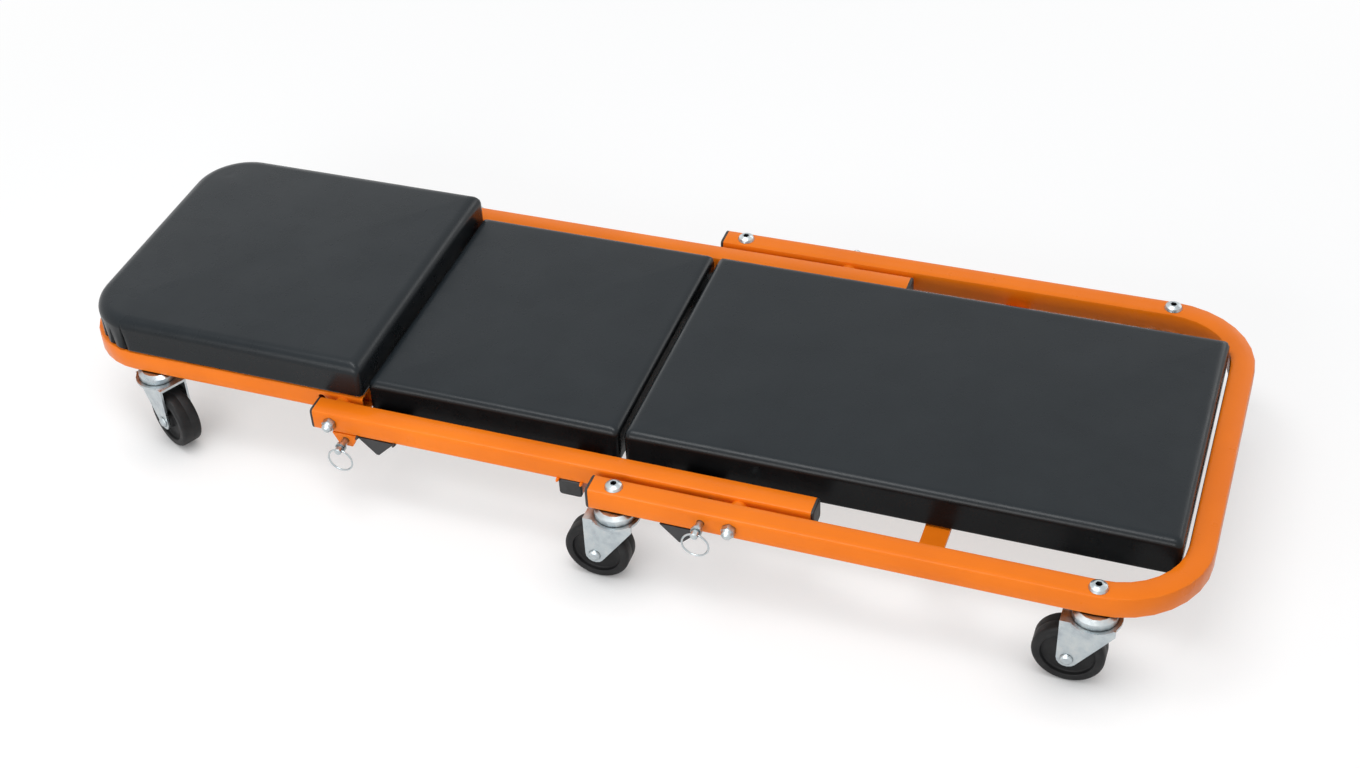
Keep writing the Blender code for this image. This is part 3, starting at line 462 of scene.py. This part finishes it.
def mesh_object(name, form, material):
    """New object from a bmesh, shaded smooth."""
    mesh = bpy.data.meshes.new(name)
    bmesh.ops.recalc_face_normals(form, faces=form.faces)
    for face in form.faces:
        face.smooth = True
    form.to_mesh(mesh)
    form.free()
    mesh.materials.append(material)
    made = bpy.data.objects.new(name, mesh)
    bpy.context.scene.collection.objects.link(made)
    return made


def keep_result(piece):
    """Apply all modifiers of a piece."""
    bpy.context.view_layer.update()
    graph = bpy.context.evaluated_depsgraph_get()
    done = bpy.data.meshes.new_from_object(piece.evaluated_get(graph))
    piece.modifiers.clear()
    old = piece.data
    piece.data = done
    bpy.data.meshes.remove(old)
    done.name = piece.name


def read_points(piece):
    """Places of a piece's vertices, one in each row."""
    points = np.empty(len(piece.data.vertices) * 3)
    piece.data.vertices.foreach_get("co", points)
    return points.reshape(-1, 3)


def write_points(piece, points):
    """Move a piece's vertices to new places."""
    piece.data.vertices.foreach_set("co", points.ravel())
    piece.data.update()


def join_rings(form, rings):
    """Faces between each ring of vertices and the next."""
    for ring, after in zip(rings, rings[1:]):
        for index in range(len(ring)):
            beside = (index + 1) % len(ring)
            form.faces.new((ring[index], ring[beside], after[beside], after[index]))


def close_ends(form, rings):
    """A face over the first ring and one over the last."""
    form.faces.new(reversed(rings[0]))
    form.faces.new(rings[-1])


def ease(value):
    """Smooth step from 0 to 1."""
    value = np.clip(value, 0.0, 1.0)
    return value * value * (3.0 - 2.0 * value)


class Plan:
    """Box of a pad, and the radius of its corners at the head and at the foot, seen from above."""

    def __init__(self, low, high, head_corner, foot_corner):
        self.low = low
        self.high = high
        self.head_corner = head_corner
        self.foot_corner = foot_corner

    def outline(self, inset, side_steps=1):
        """Points round the pad, some way inside its edge."""
        low, high = self.low, self.high
        corners = ((high.x, low.y, self.foot_corner, -0.5), (high.x, high.y, self.foot_corner, 0.0),
                   (low.x, high.y, self.head_corner, 0.5), (low.x, low.y, self.head_corner, 1.0))
        bends = []
        for x, y, corner, quarter in corners:
            inward_x = -1.0 if x == high.x else 1.0
            inward_y = -1.0 if y == high.y else 1.0
            reach = max(corner - inset, HEM_CORNER)
            centre = (x + inward_x * (inset + reach), y + inward_y * (inset + reach))
            turns = [math.pi * (quarter + 0.5 * step / PAD_CORNER_STEPS)
                     for step in range(PAD_CORNER_STEPS + 1)]
            bends.append([(centre[0] + reach * math.cos(turn), centre[1] + reach * math.sin(turn))
                          for turn in turns])
        points = []
        for bend, after in zip(bends, bends[1:] + bends[:1]):
            points += bend
            for step in range(1, side_steps):
                share = step / side_steps
                points.append(tuple(a + share * (b - a) for a, b in zip(bend[-1], after[0])))
        return points

    def inset(self, points):
        """How deep points lie inside the pad, seen from above, and the way out of it."""
        low, high = self.low, self.high
        headward = points[:, 0] < (low.x + high.x) / 2.0
        corner = np.where(headward, self.head_corner, self.foot_corner)
        past_x = np.where(headward, low.x + corner - points[:, 0], points[:, 0] - high.x + corner)
        past_y = np.abs(points[:, 1]) - high.y + corner
        rounded = (past_x > 0.0) & (past_y > 0.0)
        length = np.maximum(np.hypot(past_x, past_y), TINY)
        depth = corner - np.where(rounded, length, np.maximum(past_x, past_y))
        out_x = np.where(rounded, past_x / length, past_x > past_y) * np.where(headward, -1.0, 1.0)
        out_y = np.where(rounded, past_y / length, past_x <= past_y) * np.sign(points[:, 1])
        return depth, np.stack((out_x, out_y, np.zeros(len(points))), axis=1)

    def rise(self, points):
        """Share of the pad's height at which points lie."""
        return (points[:, 2] - self.low.z) / (self.high.z - self.low.z)

    def has_big_corners(self):
        """Whether the corners at the head are rounder than those at the foot."""
        return self.head_corner > self.foot_corner


def pad_form(plan, rounding):
    """Slack pad, a little lower than its place and with spare to trim at the sides and below."""
    top = plan.high.z - PAD_START_DROP
    levels = [(PAD_START_INSET, plan.low.z - PAD_START_BELOW), (PAD_START_INSET, top - rounding)]
    for step in range(1, PAD_ROUND_STEPS + 1):
        turn = math.pi / 2.0 * step / PAD_ROUND_STEPS
        levels.append((PAD_START_INSET + rounding * (1.0 - math.cos(turn)),
                       top - rounding * (1.0 - math.sin(turn))))
    form = bmesh.new()
    rings = [[form.verts.new((x, y, z)) for x, y in plan.outline(inset)] for inset, z in levels]
    join_rings(form, rings)
    close_ends(form, rings)
    return form


def swell(piece, plan):
    """Blow the pad up as cloth that is held round its board, and cap how far it swells and draws in."""
    start = read_points(piece)
    held = piece.vertex_groups.new(name="held")
    held.add([int(index) for index in np.flatnonzero(start[:, 2] < plan.low.z + PAD_HELD)], 1.0, "REPLACE")
    cloth = piece.modifiers.new("cloth", "CLOTH")
    cloth.settings.use_pressure = True
    cloth.settings.uniform_pressure_force = PAD_PRESSURE
    cloth.settings.vertex_group_mass = held.name
    cloth.settings.effector_weights.gravity = 0.0
    cloth.collision_settings.use_collision = False
    scene = bpy.context.scene
    for step in range(1, PAD_FRAMES + 1):
        scene.frame_set(step)
    keep_result(piece)
    scene.frame_set(1)
    moved = read_points(piece) - start
    length = np.linalg.norm(moved, axis=1, keepdims=True)
    moved *= np.minimum(1.0, PAD_SWELL / np.maximum(length, TINY))
    outward = plan.inset(start)[1]
    inward = -np.sum(moved * outward, axis=1)
    moved += outward * np.maximum(inward - PAD_DRAWN, 0.0)[:, None]
    moved[:, 2] = np.maximum(moved[:, 2], -PAD_DRAWN)
    write_points(piece, start + moved)


def refine_corners(pad, plan):
    """Finer mesh on the sides of the two big corners, for the folds there."""
    low, high, corner = plan.low, plan.high, plan.head_corner
    form = bmesh.new()
    form.from_mesh(pad.data)
    edges = []
    top = low.z + PLEAT_TOP * (high.z - low.z)
    for edge in form.edges:
        middle = (edge.verts[0].co + edge.verts[1].co) / 2.0
        past_x = low.x + corner - middle.x
        past_y = abs(middle.y) - high.y + corner
        outer = math.hypot(past_x, past_y) > corner - PLEAT_SKIN
        if outer and min(past_x, past_y) > 0.0 and middle.z < top:
            edges.append(edge)
    bmesh.ops.subdivide_edges(form, edges=edges, cuts=PLEAT_CUTS, use_grid_fill=True)
    form.to_mesh(pad.data)
    form.free()


def tuck(points, plan):
    """How far the cover goes in where it is gathered round the big corners: notches with folds between."""
    corner = plan.head_corner
    past_x = plan.low.x + corner - points[:, 0]
    past_y = np.abs(points[:, 1]) - plan.high.y + corner
    turn = np.arctan2(past_x, past_y)
    rise = plan.rise(points)
    spacing = math.pi / 2.0 / PLEATS
    depth = np.zeros(len(points))
    for index in range(PLEATS):
        middle = spacing * (index + 0.5 + PLEAT_SHIFT * math.sin(PLEAT_SHIFT_RATE * index))
        reach = PLEAT_REACH + PLEAT_REACH_VARIES * math.sin(PLEAT_REACH_RATE * index + PLEAT_REACH_PHASE)
        gape = np.clip(1.0 - rise / reach, 0.0, 1.0)
        along = np.abs(turn - middle) * corner / (PLEAT_HALF * gape + PLEAT_TIP)
        depth = np.maximum(depth, PLEAT_DEPTH * np.clip(1.0 - along, 0.0, 1.0) * np.sqrt(gape))
    fold = PLEAT_FOLD * np.sin(math.pi * turn / spacing) ** 2 * (1.0 - ease(rise / PLEAT_FOLD_REACH))
    return np.where((past_x > 0.0) & (past_y > 0.0), depth + fold, 0.0)


def press(points, plan, rounding):
    """Press the swollen cloth to its crowned form: firmly at the sides and edges, hardly on the top."""
    low, high = plan.low, plan.high
    inset, outward = plan.inset(points)
    reach = min(high.x - low.x, high.y - low.y) / 2.0
    share = np.clip(inset / reach, 0.0, 1.0)
    depth = high.z - PAD_CROWN * (1.0 - share) ** 2 - points[:, 2]
    short_side = np.maximum(rounding - inset, 0.0)
    short_top = np.maximum(rounding - depth, 0.0)
    length = np.hypot(short_side, short_top)
    outside = length - rounding
    firm = PAD_PRESS * (1.0 - ease((inset - PAD_PRESS_START) / PAD_PRESS_RUN))
    hold = np.where(outside > 0.0, 1.0, firm)
    move = np.where(length > 0.0, outside * hold, 0.0) / np.maximum(length, TINY)
    points -= outward * (move * short_side)[:, None]
    points[:, 2] -= move * short_top
    return points


def squeeze(points, rise, inset, outward):
    """Share of the bulge at the foot end: most in its lower half, and fading towards the corners."""
    aside = (np.abs(points[:, 1]) - BULGE_HALF) / BULGE_FADE
    share = np.sin(math.pi * np.clip(rise / BULGE_RISE, 0.0, 1.0)) * np.exp(-inset / PAD_WAIST_DEPTH)
    share *= np.clip(outward[:, 0], 0.0, 1.0) * (1.0 - ease(aside))
    return share


def shape_pad(pad, plan, rounding, bulge):
    """Draw the sides in between the corners, ripple the top, gather the corners and seat the pad."""
    low, high = plan.low, plan.high
    points = press(read_points(pad), plan, rounding)
    inset, outward = plan.inset(points)
    rise = np.clip(plan.rise(points), 0.0, 1.0)
    from_end = np.minimum(points[:, 0] - low.x, high.x - points[:, 0])
    from_side = np.minimum(points[:, 1] - low.y, high.y - points[:, 1])
    waist = ease(np.maximum(from_end, from_side) / PAD_WAIST_RUN) * np.exp(-inset / PAD_WAIST_DEPTH)
    draw = PAD_WAIST * waist * np.sin(math.pi * rise)
    if plan.has_big_corners():
        draw += tuck(points, plan) * np.exp(-np.maximum(inset, 0.0) / PAD_WAIST_DEPTH)
    draw += np.maximum(PAD_MARGIN - inset, 0.0)
    draw -= bulge * squeeze(points, rise, inset, outward)
    draw = np.maximum(draw, np.maximum(PAD_TURN - points[:, 2] + low.z, 0.0) - inset)
    wave = np.array([noise.noise(Vector(point) * PAD_WAVE_SCALE) for point in points])
    lift = PAD_WAVE * wave * ease(inset / PAD_WAVE_EDGE) * ease(2.0 * rise - 1.0)
    underneath = points[:, 2] < low.z + HEM_BOTTOM
    points -= outward * draw[:, None]
    points[:, 2] = np.clip(points[:, 2] + lift, low.z, high.z)
    points[underneath & (inset > BOARD_INSET), 2] = low.z + BOARD_THICK
    write_points(pad, points)


def add_hem(pad, plan, width):
    """Add the turned-in edge of the cover, which lies flat under the board."""
    low, high = plan.low, plan.high
    form = bmesh.new()
    form.from_mesh(pad.data)
    middle = (low.x + high.x) / 2.0
    outer = plan.outline(HEM_EDGE, HEM_STEPS)
    inner = []
    for x, y in plan.outline(width, HEM_STEPS):
        wave = 1.0 + HEM_WAVE * noise.noise(Vector((x, y, low.z)) * HEM_WAVE_SCALE) / width
        inner.append((middle + wave * (x - middle), wave * y))
    loops = [[form.verts.new((x, y, low.z - drop)) for x, y in ring]
             for ring, drop in ((outer, HEM_TOP), (inner, HEM_TOP), (inner, HEM_BOTTOM), (outer, HEM_BOTTOM))]
    for loop, beside in zip(loops, loops[1:] + loops[:1]):
        for index in range(len(loop)):
            after = (index + 1) % len(loop)
            face = form.faces.new((loop[index], loop[after], beside[after], beside[index]))
            face.smooth = False
    bmesh.ops.recalc_face_normals(form, faces=form.faces)
    form.to_mesh(pad.data)
    form.free()


def add_staple(form, middle, along):
    """Bent wire with its crown along a line and both ends in the board."""
    across = along.cross(DOWN)
    section = ((-1.0, STAPLE_THICK), (1.0, STAPLE_THICK), (STAPLE_CREST, 0.0), (-STAPLE_CREST, 0.0))
    loops = []
    for step in range(STAPLE_STEPS + 1):
        share = 2.0 * step / STAPLE_STEPS - 1.0
        dip = STAPLE_THICK * (1.0 - share ** STAPLE_BEND)
        point = middle + along * (share * STAPLE_LENGTH / 2.0)
        loops.append([form.verts.new(point + across * (side * STAPLE_WIDTH / 2.0) + DOWN * (dip - back))
                      for side, back in section])
    join_rings(form, loops)
    close_ends(form, loops)


def make_staples(name, body, plan, inset, bars, material):
    """Row of staples round a hem, left out where a bar lies under the board."""
    boxes = [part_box(bar) for bar in bars]
    ring = plan.outline(inset)
    low = plan.low
    form = bmesh.new()
    for start, end in zip(ring, ring[1:] + ring[:1]):
        run = Vector((*end, low.z)) - Vector((*start, low.z))
        count = int(run.length / STAPLE_SPACING)
        for step in range(count):
            middle = Vector((*start, low.z - HEM_BOTTOM)) + run * ((step + 0.5) / count)
            if any(box_low.x - BAR_CLEAR < middle.x < box_high.x + BAR_CLEAR
                   and box_low.y - BAR_CLEAR < middle.y < box_high.y + BAR_CLEAR
                   for box_low, box_high in boxes):
                continue
            skew = STAPLE_SKEW * noise.noise(middle * STAPLE_SKEW_SCALE)
            along = Matrix.Rotation(skew, 3, "Z") @ run.normalized()
            add_staple(form, middle, along)
    staples = mesh_object(name, form, material)
    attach(staples, body)


def make_pad(name, body, node, bars, vinyl, wire, head_corner=PAD_CORNER, rounding=PAD_ROUND, bulge=0.0,
             hem_width=HEM_WIDTH):
    """Stuffed pad in the place of a CAD cushion, with its hem and staples."""
    low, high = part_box(node)
    plan = Plan(low, high, head_corner, PAD_CORNER)
    pad = mesh_object(name, pad_form(plan, rounding), vinyl)
    grid = pad.modifiers.new("grid", "REMESH")
    grid.mode = "VOXEL"
    grid.voxel_size = PAD_VOXEL
    grid.use_smooth_shade = True
    keep_result(pad)
    swell(pad, plan)
    finer = pad.modifiers.new("finer", "SUBSURF")
    finer.levels = 1
    finer.render_levels = 1
    keep_result(pad)
    if plan.has_big_corners():
        refine_corners(pad, plan)
    shape_pad(pad, plan, rounding, bulge)
    add_hem(pad, plan, hem_width)
    make_staples(name + "_staples", body, plan, hem_width - STAPLE_FROM_HEM, bars, wire)
    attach(pad, body)
    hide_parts(node)


def add_bead(form, start, end):
    """Bead of weld with round ends and a ripple for each drop."""
    run = end - start
    aside = run.normalized().cross(UP)
    count = int(run.length / WELD_STEP)
    loops = []
    for step in range(count + 1):
        share = step / count
        ripple = 1.0 + WELD_RIPPLE * abs(math.sin(math.pi * share * run.length / WELD_PITCH))
        taper = min(1.0, WELD_TIP + WELD_TAPER * min(share, 1.0 - share)) ** 0.5
        radius = WELD_RADIUS * ripple * taper
        loops.append([form.verts.new(start + run * share
                                     + radius * (math.cos(turn) * aside + math.sin(turn) * UP))
                      for turn in (2.0 * math.pi * index / WELD_SIDES for index in range(WELD_SIDES))])
    join_rings(form, loops)
    close_ends(form, loops)


def make_welds(bar, body, outer, finish):
    """Rippled fillet beads along both edges of a bar, under the two tubes that carry it."""
    low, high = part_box(bar)
    form = bmesh.new()
    for side in (-1.0, 1.0):
        near = side * (outer - TUBE + WELD_END)
        far = side * (outer - WELD_END)
        for x in (low.x - WELD_OFFSET, high.x + WELD_OFFSET):
            add_bead(form, Vector((x, near, high.z)), Vector((x, far, high.z)))
    beads = mesh_object(bar + "_welds", form, finish)
    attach(beads, body)


def wheel_profile(radius):
    """Half of a wheel's section, from its bore out to mid tread: radius and distance sideways."""
    bend = WHEEL_BEND
    section = [(BORE_RADIUS, HUB_HALF), (HUB_RADIUS - bend, HUB_HALF), (HUB_RADIUS, HUB_HALF - bend),
               (HUB_RADIUS, WHEEL_WEB + 2.0 * bend), (HUB_RADIUS + 0.5 * bend, WHEEL_WEB + 0.5 * bend),
               (HUB_RADIUS + 2.0 * bend, WHEEL_WEB), (WHEEL_RIM - 2.0 * bend, WHEEL_WEB),
               (WHEEL_RIM - 0.5 * bend, WHEEL_WEB + 0.5 * bend), (WHEEL_RIM, WHEEL_WEB + 2.0 * bend),
               (WHEEL_RIM, WHEEL_HALF - bend), (WHEEL_RIM + 0.3 * bend, WHEEL_HALF - 0.3 * bend),
               (WHEEL_RIM + bend, WHEEL_HALF)]
    for step in range(SHOULDER_STEPS + 1):
        turn = math.pi / 2.0 * step / SHOULDER_STEPS
        section.append((radius - WHEEL_SHOULDER * (1.0 - math.sin(turn)),
                        WHEEL_HALF - WHEEL_SHOULDER * (1.0 - math.cos(turn))))
    section += [(radius, 0.8 * bend), (radius - 0.15 * bend, 0.4 * bend), (radius - 0.2 * bend, 0.0)]
    return section


def make_wheel(label, joint, material):
    """Turned wheel on its axle, with rounded tread, parting line, dished sides and hub."""
    node = label + "_caster_wheel"
    centre = Vector(joint["pos_m"])
    across = Vector(joint["axis"]).normalized()
    ahead = across.cross(UP)
    half = wheel_profile(centre.z)
    section = half + [(radius, -aside) for radius, aside in reversed(half[:-1])]
    form = bmesh.new()
    rings = []
    for step in range(WHEEL_STEPS):
        turn = 2.0 * math.pi * step / WHEEL_STEPS
        spoke = math.cos(turn) * UP + math.sin(turn) * ahead
        rings.append([form.verts.new(centre + radius * spoke + aside * across) for radius, aside in section])
    join_rings(form, rings + rings[:1])
    wheel = mesh_object(label + "_wheel", form, material)
    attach(wheel, label + "_roller")
    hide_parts(node)


def make_wheels(frame, material):
    """A wheel for each joint that a wheel spins on."""
    ending = "_wheel_spin"
    for joint in frame["joints"]:
        if joint["name"].endswith(ending):
            make_wheel(joint["name"][:-len(ending)], joint, material)


def make_camera():
    """Camera at the photograph's place and angle."""
    ahead = Vector((math.sin(CAMERA_PAN) * math.cos(CAMERA_TILT),
                    math.cos(CAMERA_PAN) * math.cos(CAMERA_TILT), -math.sin(CAMERA_TILT)))
    level = Vector((math.cos(CAMERA_PAN), -math.sin(CAMERA_PAN), 0.0))
    down = -level.cross(ahead)
    right = math.cos(CAMERA_ROLL) * level + math.sin(CAMERA_ROLL) * down
    below = math.cos(CAMERA_ROLL) * down - math.sin(CAMERA_ROLL) * level
    lens = bpy.data.cameras.new("camera")
    lens.lens = CAMERA_LENS
    lens.sensor_width = CAMERA_SENSOR
    lens.shift_x, lens.shift_y = CAMERA_SHIFT
    camera = bpy.data.objects.new("camera", lens)
    bpy.context.scene.collection.objects.link(camera)
    turned = Matrix((right, -below, -ahead)).transposed()
    camera.matrix_world = Matrix.Translation(CAMERA_PLACE) @ turned.to_4x4()
    bpy.context.scene.camera = camera


def seen_directly(tree):
    """One for rays from the camera and for their mirror images and see-through parts."""
    path = add_node(tree, "ShaderNodeLightPath")
    first = add_node(tree, "ShaderNodeMath", operation="MAXIMUM")
    link(tree, path.outputs["Is Camera Ray"], first.inputs[0])
    link(tree, path.outputs["Is Glossy Ray"], first.inputs[1])
    both = add_node(tree, "ShaderNodeMath", operation="MAXIMUM")
    link(tree, first.outputs["Value"], both.inputs[0])
    link(tree, path.outputs["Is Transmission Ray"], both.inputs[1])
    return both.outputs["Value"]


def choose_shader(tree, bounced, shown, output):
    """One shader for bounced light, and another where the surface is looked at."""
    choose = add_node(tree, "ShaderNodeMixShader")
    link(tree, seen_directly(tree), choose.inputs["Fac"])
    link(tree, bounced, choose.inputs[1])
    link(tree, shown, choose.inputs[2])
    link(tree, choose.outputs["Shader"], tree.nodes[output].inputs["Surface"])


def make_floor():
    """Plain floor that keeps the shadow and glows where it is looked at: most far out, least at wheels, as painted
    shade.
    """
    form = bmesh.new()
    bmesh.ops.create_grid(form, x_segments=FLOOR_CELLS, y_segments=FLOOR_CELLS, size=FLOOR_SIZE / 2.0)
    made, tree, shown = new_material("white_floor")
    away = add_node(tree, "ShaderNodeVectorMath", operation="LENGTH")
    link(tree, rest_place(tree), away.inputs[0])
    near, white = FLOOR_FADE
    far = spread(tree, away.outputs["Value"], low=0.0, high=1.0, from_low=near, from_high=white)
    link(tree, blend_colours(tree, far, FLOOR_SHOWN, NO_COLOUR), shown.inputs["Base Color"])
    shown.inputs["Roughness"].default_value = FLOOR_ROUGHNESS
    shown.inputs["Specular IOR Level"].default_value = 0.0
    shown.inputs["Emission Color"].default_value = WHITE
    # Painted shade: the glow is dimmed where wheels come close to the floor.
    contact = add_node(tree, "ShaderNodeAmbientOcclusion", {"Distance": CONTACT_REACH},
                       samples=CONTACT_SAMPLES)
    painted_contact_shade = spread(tree, contact.outputs["AO"], low=CONTACT_LOW, high=1.0,
                   from_low=CONTACT_FROM, from_high=1.0)
    glow = product(tree, spread(tree, far, low=FLOOR_GLOW, high=1.0, from_low=0.0, from_high=1.0), painted_contact_shade)
    link(tree, glow, shown.inputs["Emission Strength"])
    plain = add_node(tree, "ShaderNodeBsdfDiffuse", {"Color": FLOOR_COLOUR})
    choose_shader(tree, plain.outputs["BSDF"], shown.outputs["BSDF"], "Material Output")
    floor = mesh_object("floor", form, made)


def make_sky():
    """Even light from all round, and a white background where it is looked at."""
    world = bpy.data.worlds.new("studio")
    world.use_nodes = True
    bpy.context.scene.world = world
    tree = world.node_tree
    light = tree.nodes["Background"]
    light.inputs["Color"].default_value = SKY_COLOUR
    light.inputs["Strength"].default_value = SKY_STRENGTH
    white = add_node(tree, "ShaderNodeBackground", {"Color": WHITE, "Strength": 1.0})
    choose_shader(tree, light.outputs["Background"], white.outputs["Background"], "World Output")


def make_lamp(name, place, aim, size, power):
    """Soft rectangular lamp that looks at a point."""
    data = bpy.data.lights.new(name, "AREA")
    data.shape = "RECTANGLE"
    data.size, data.size_y = size
    data.energy = power
    lamp = bpy.data.objects.new(name, data)
    bpy.context.scene.collection.objects.link(lamp)
    lamp.location = place
    lamp.rotation_mode = "QUATERNION"
    lamp.rotation_quaternion = (Vector(aim) - Vector(place)).to_track_quat("-Z", "Y")


def make_stage():
    """Floor, sky and lamps."""
    make_floor()
    make_sky()
    for lamp in LAMPS:
        make_lamp(*lamp)
    bpy.context.scene.view_settings.view_transform = "Standard"


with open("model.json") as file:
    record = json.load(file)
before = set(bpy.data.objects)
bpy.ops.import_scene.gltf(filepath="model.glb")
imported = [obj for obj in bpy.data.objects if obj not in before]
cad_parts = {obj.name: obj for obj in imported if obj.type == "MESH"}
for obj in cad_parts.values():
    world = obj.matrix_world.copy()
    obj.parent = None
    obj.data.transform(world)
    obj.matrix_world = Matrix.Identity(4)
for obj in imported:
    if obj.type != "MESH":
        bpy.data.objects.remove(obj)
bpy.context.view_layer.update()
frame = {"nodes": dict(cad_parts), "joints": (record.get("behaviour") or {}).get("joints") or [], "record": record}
# The pads' vinyl, and a copy for the head pad whose sides carry more painted light: lighter and shinier.
vinyl = charcoal_vinyl("charcoal_vinyl", lit_from=0.35, side_sheen=0.10)
lit_head_vinyl = charcoal_vinyl("charcoal_vinyl_lit_head", lit_from=-0.6, side_sheen=0.22)
finishes = {
    "orange_paint": orange_powder_coat(),
    "black_paint": black_powder_coat(),
    "black_plastic": moulded_plastic(),
    "zinc_plate": bright_zinc(),
    "charcoal_vinyl": vinyl,
    "plywood": raw_plywood(),
    "black_tread": black_tread(),
}
dress_nodes(frame, finishes)
make_camera()
make_stage()
wire = finishes["zinc_plate"]
make_pad("foot_pad", "foot_section", "foot_cushion", ("foot_stop_bar", "foot_strap"), vinyl, wire,
         bulge=FOOT_BULGE)
make_pad("mid_pad", "middle_section", "mid_cushion", ("mid_crossbar", "mid_stop_bar"), vinyl, wire)
make_pad("head_pad", "head_section", "head_cushion", (), lit_head_vinyl, wire,
         head_corner=HEAD_PAD_CORNER, rounding=HEAD_PAD_ROUND, hem_width=HEAD_HEM_WIDTH)
foot_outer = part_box("foot_frame")[1].y
mid_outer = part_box("mid_rail_left")[1].y
for bar, body, outer, slot in (("foot_strap", "foot_section", foot_outer, "orange_paint"),
                               ("foot_stop_bar", "foot_section", foot_outer, "black_paint"),
                               ("mid_crossbar", "middle_section", mid_outer, "orange_paint"),
                               ("mid_stop_bar", "middle_section", mid_outer, "black_paint")):
    make_welds(bar, body, outer, finishes[slot])
make_wheels(frame, finishes["black_tread"])
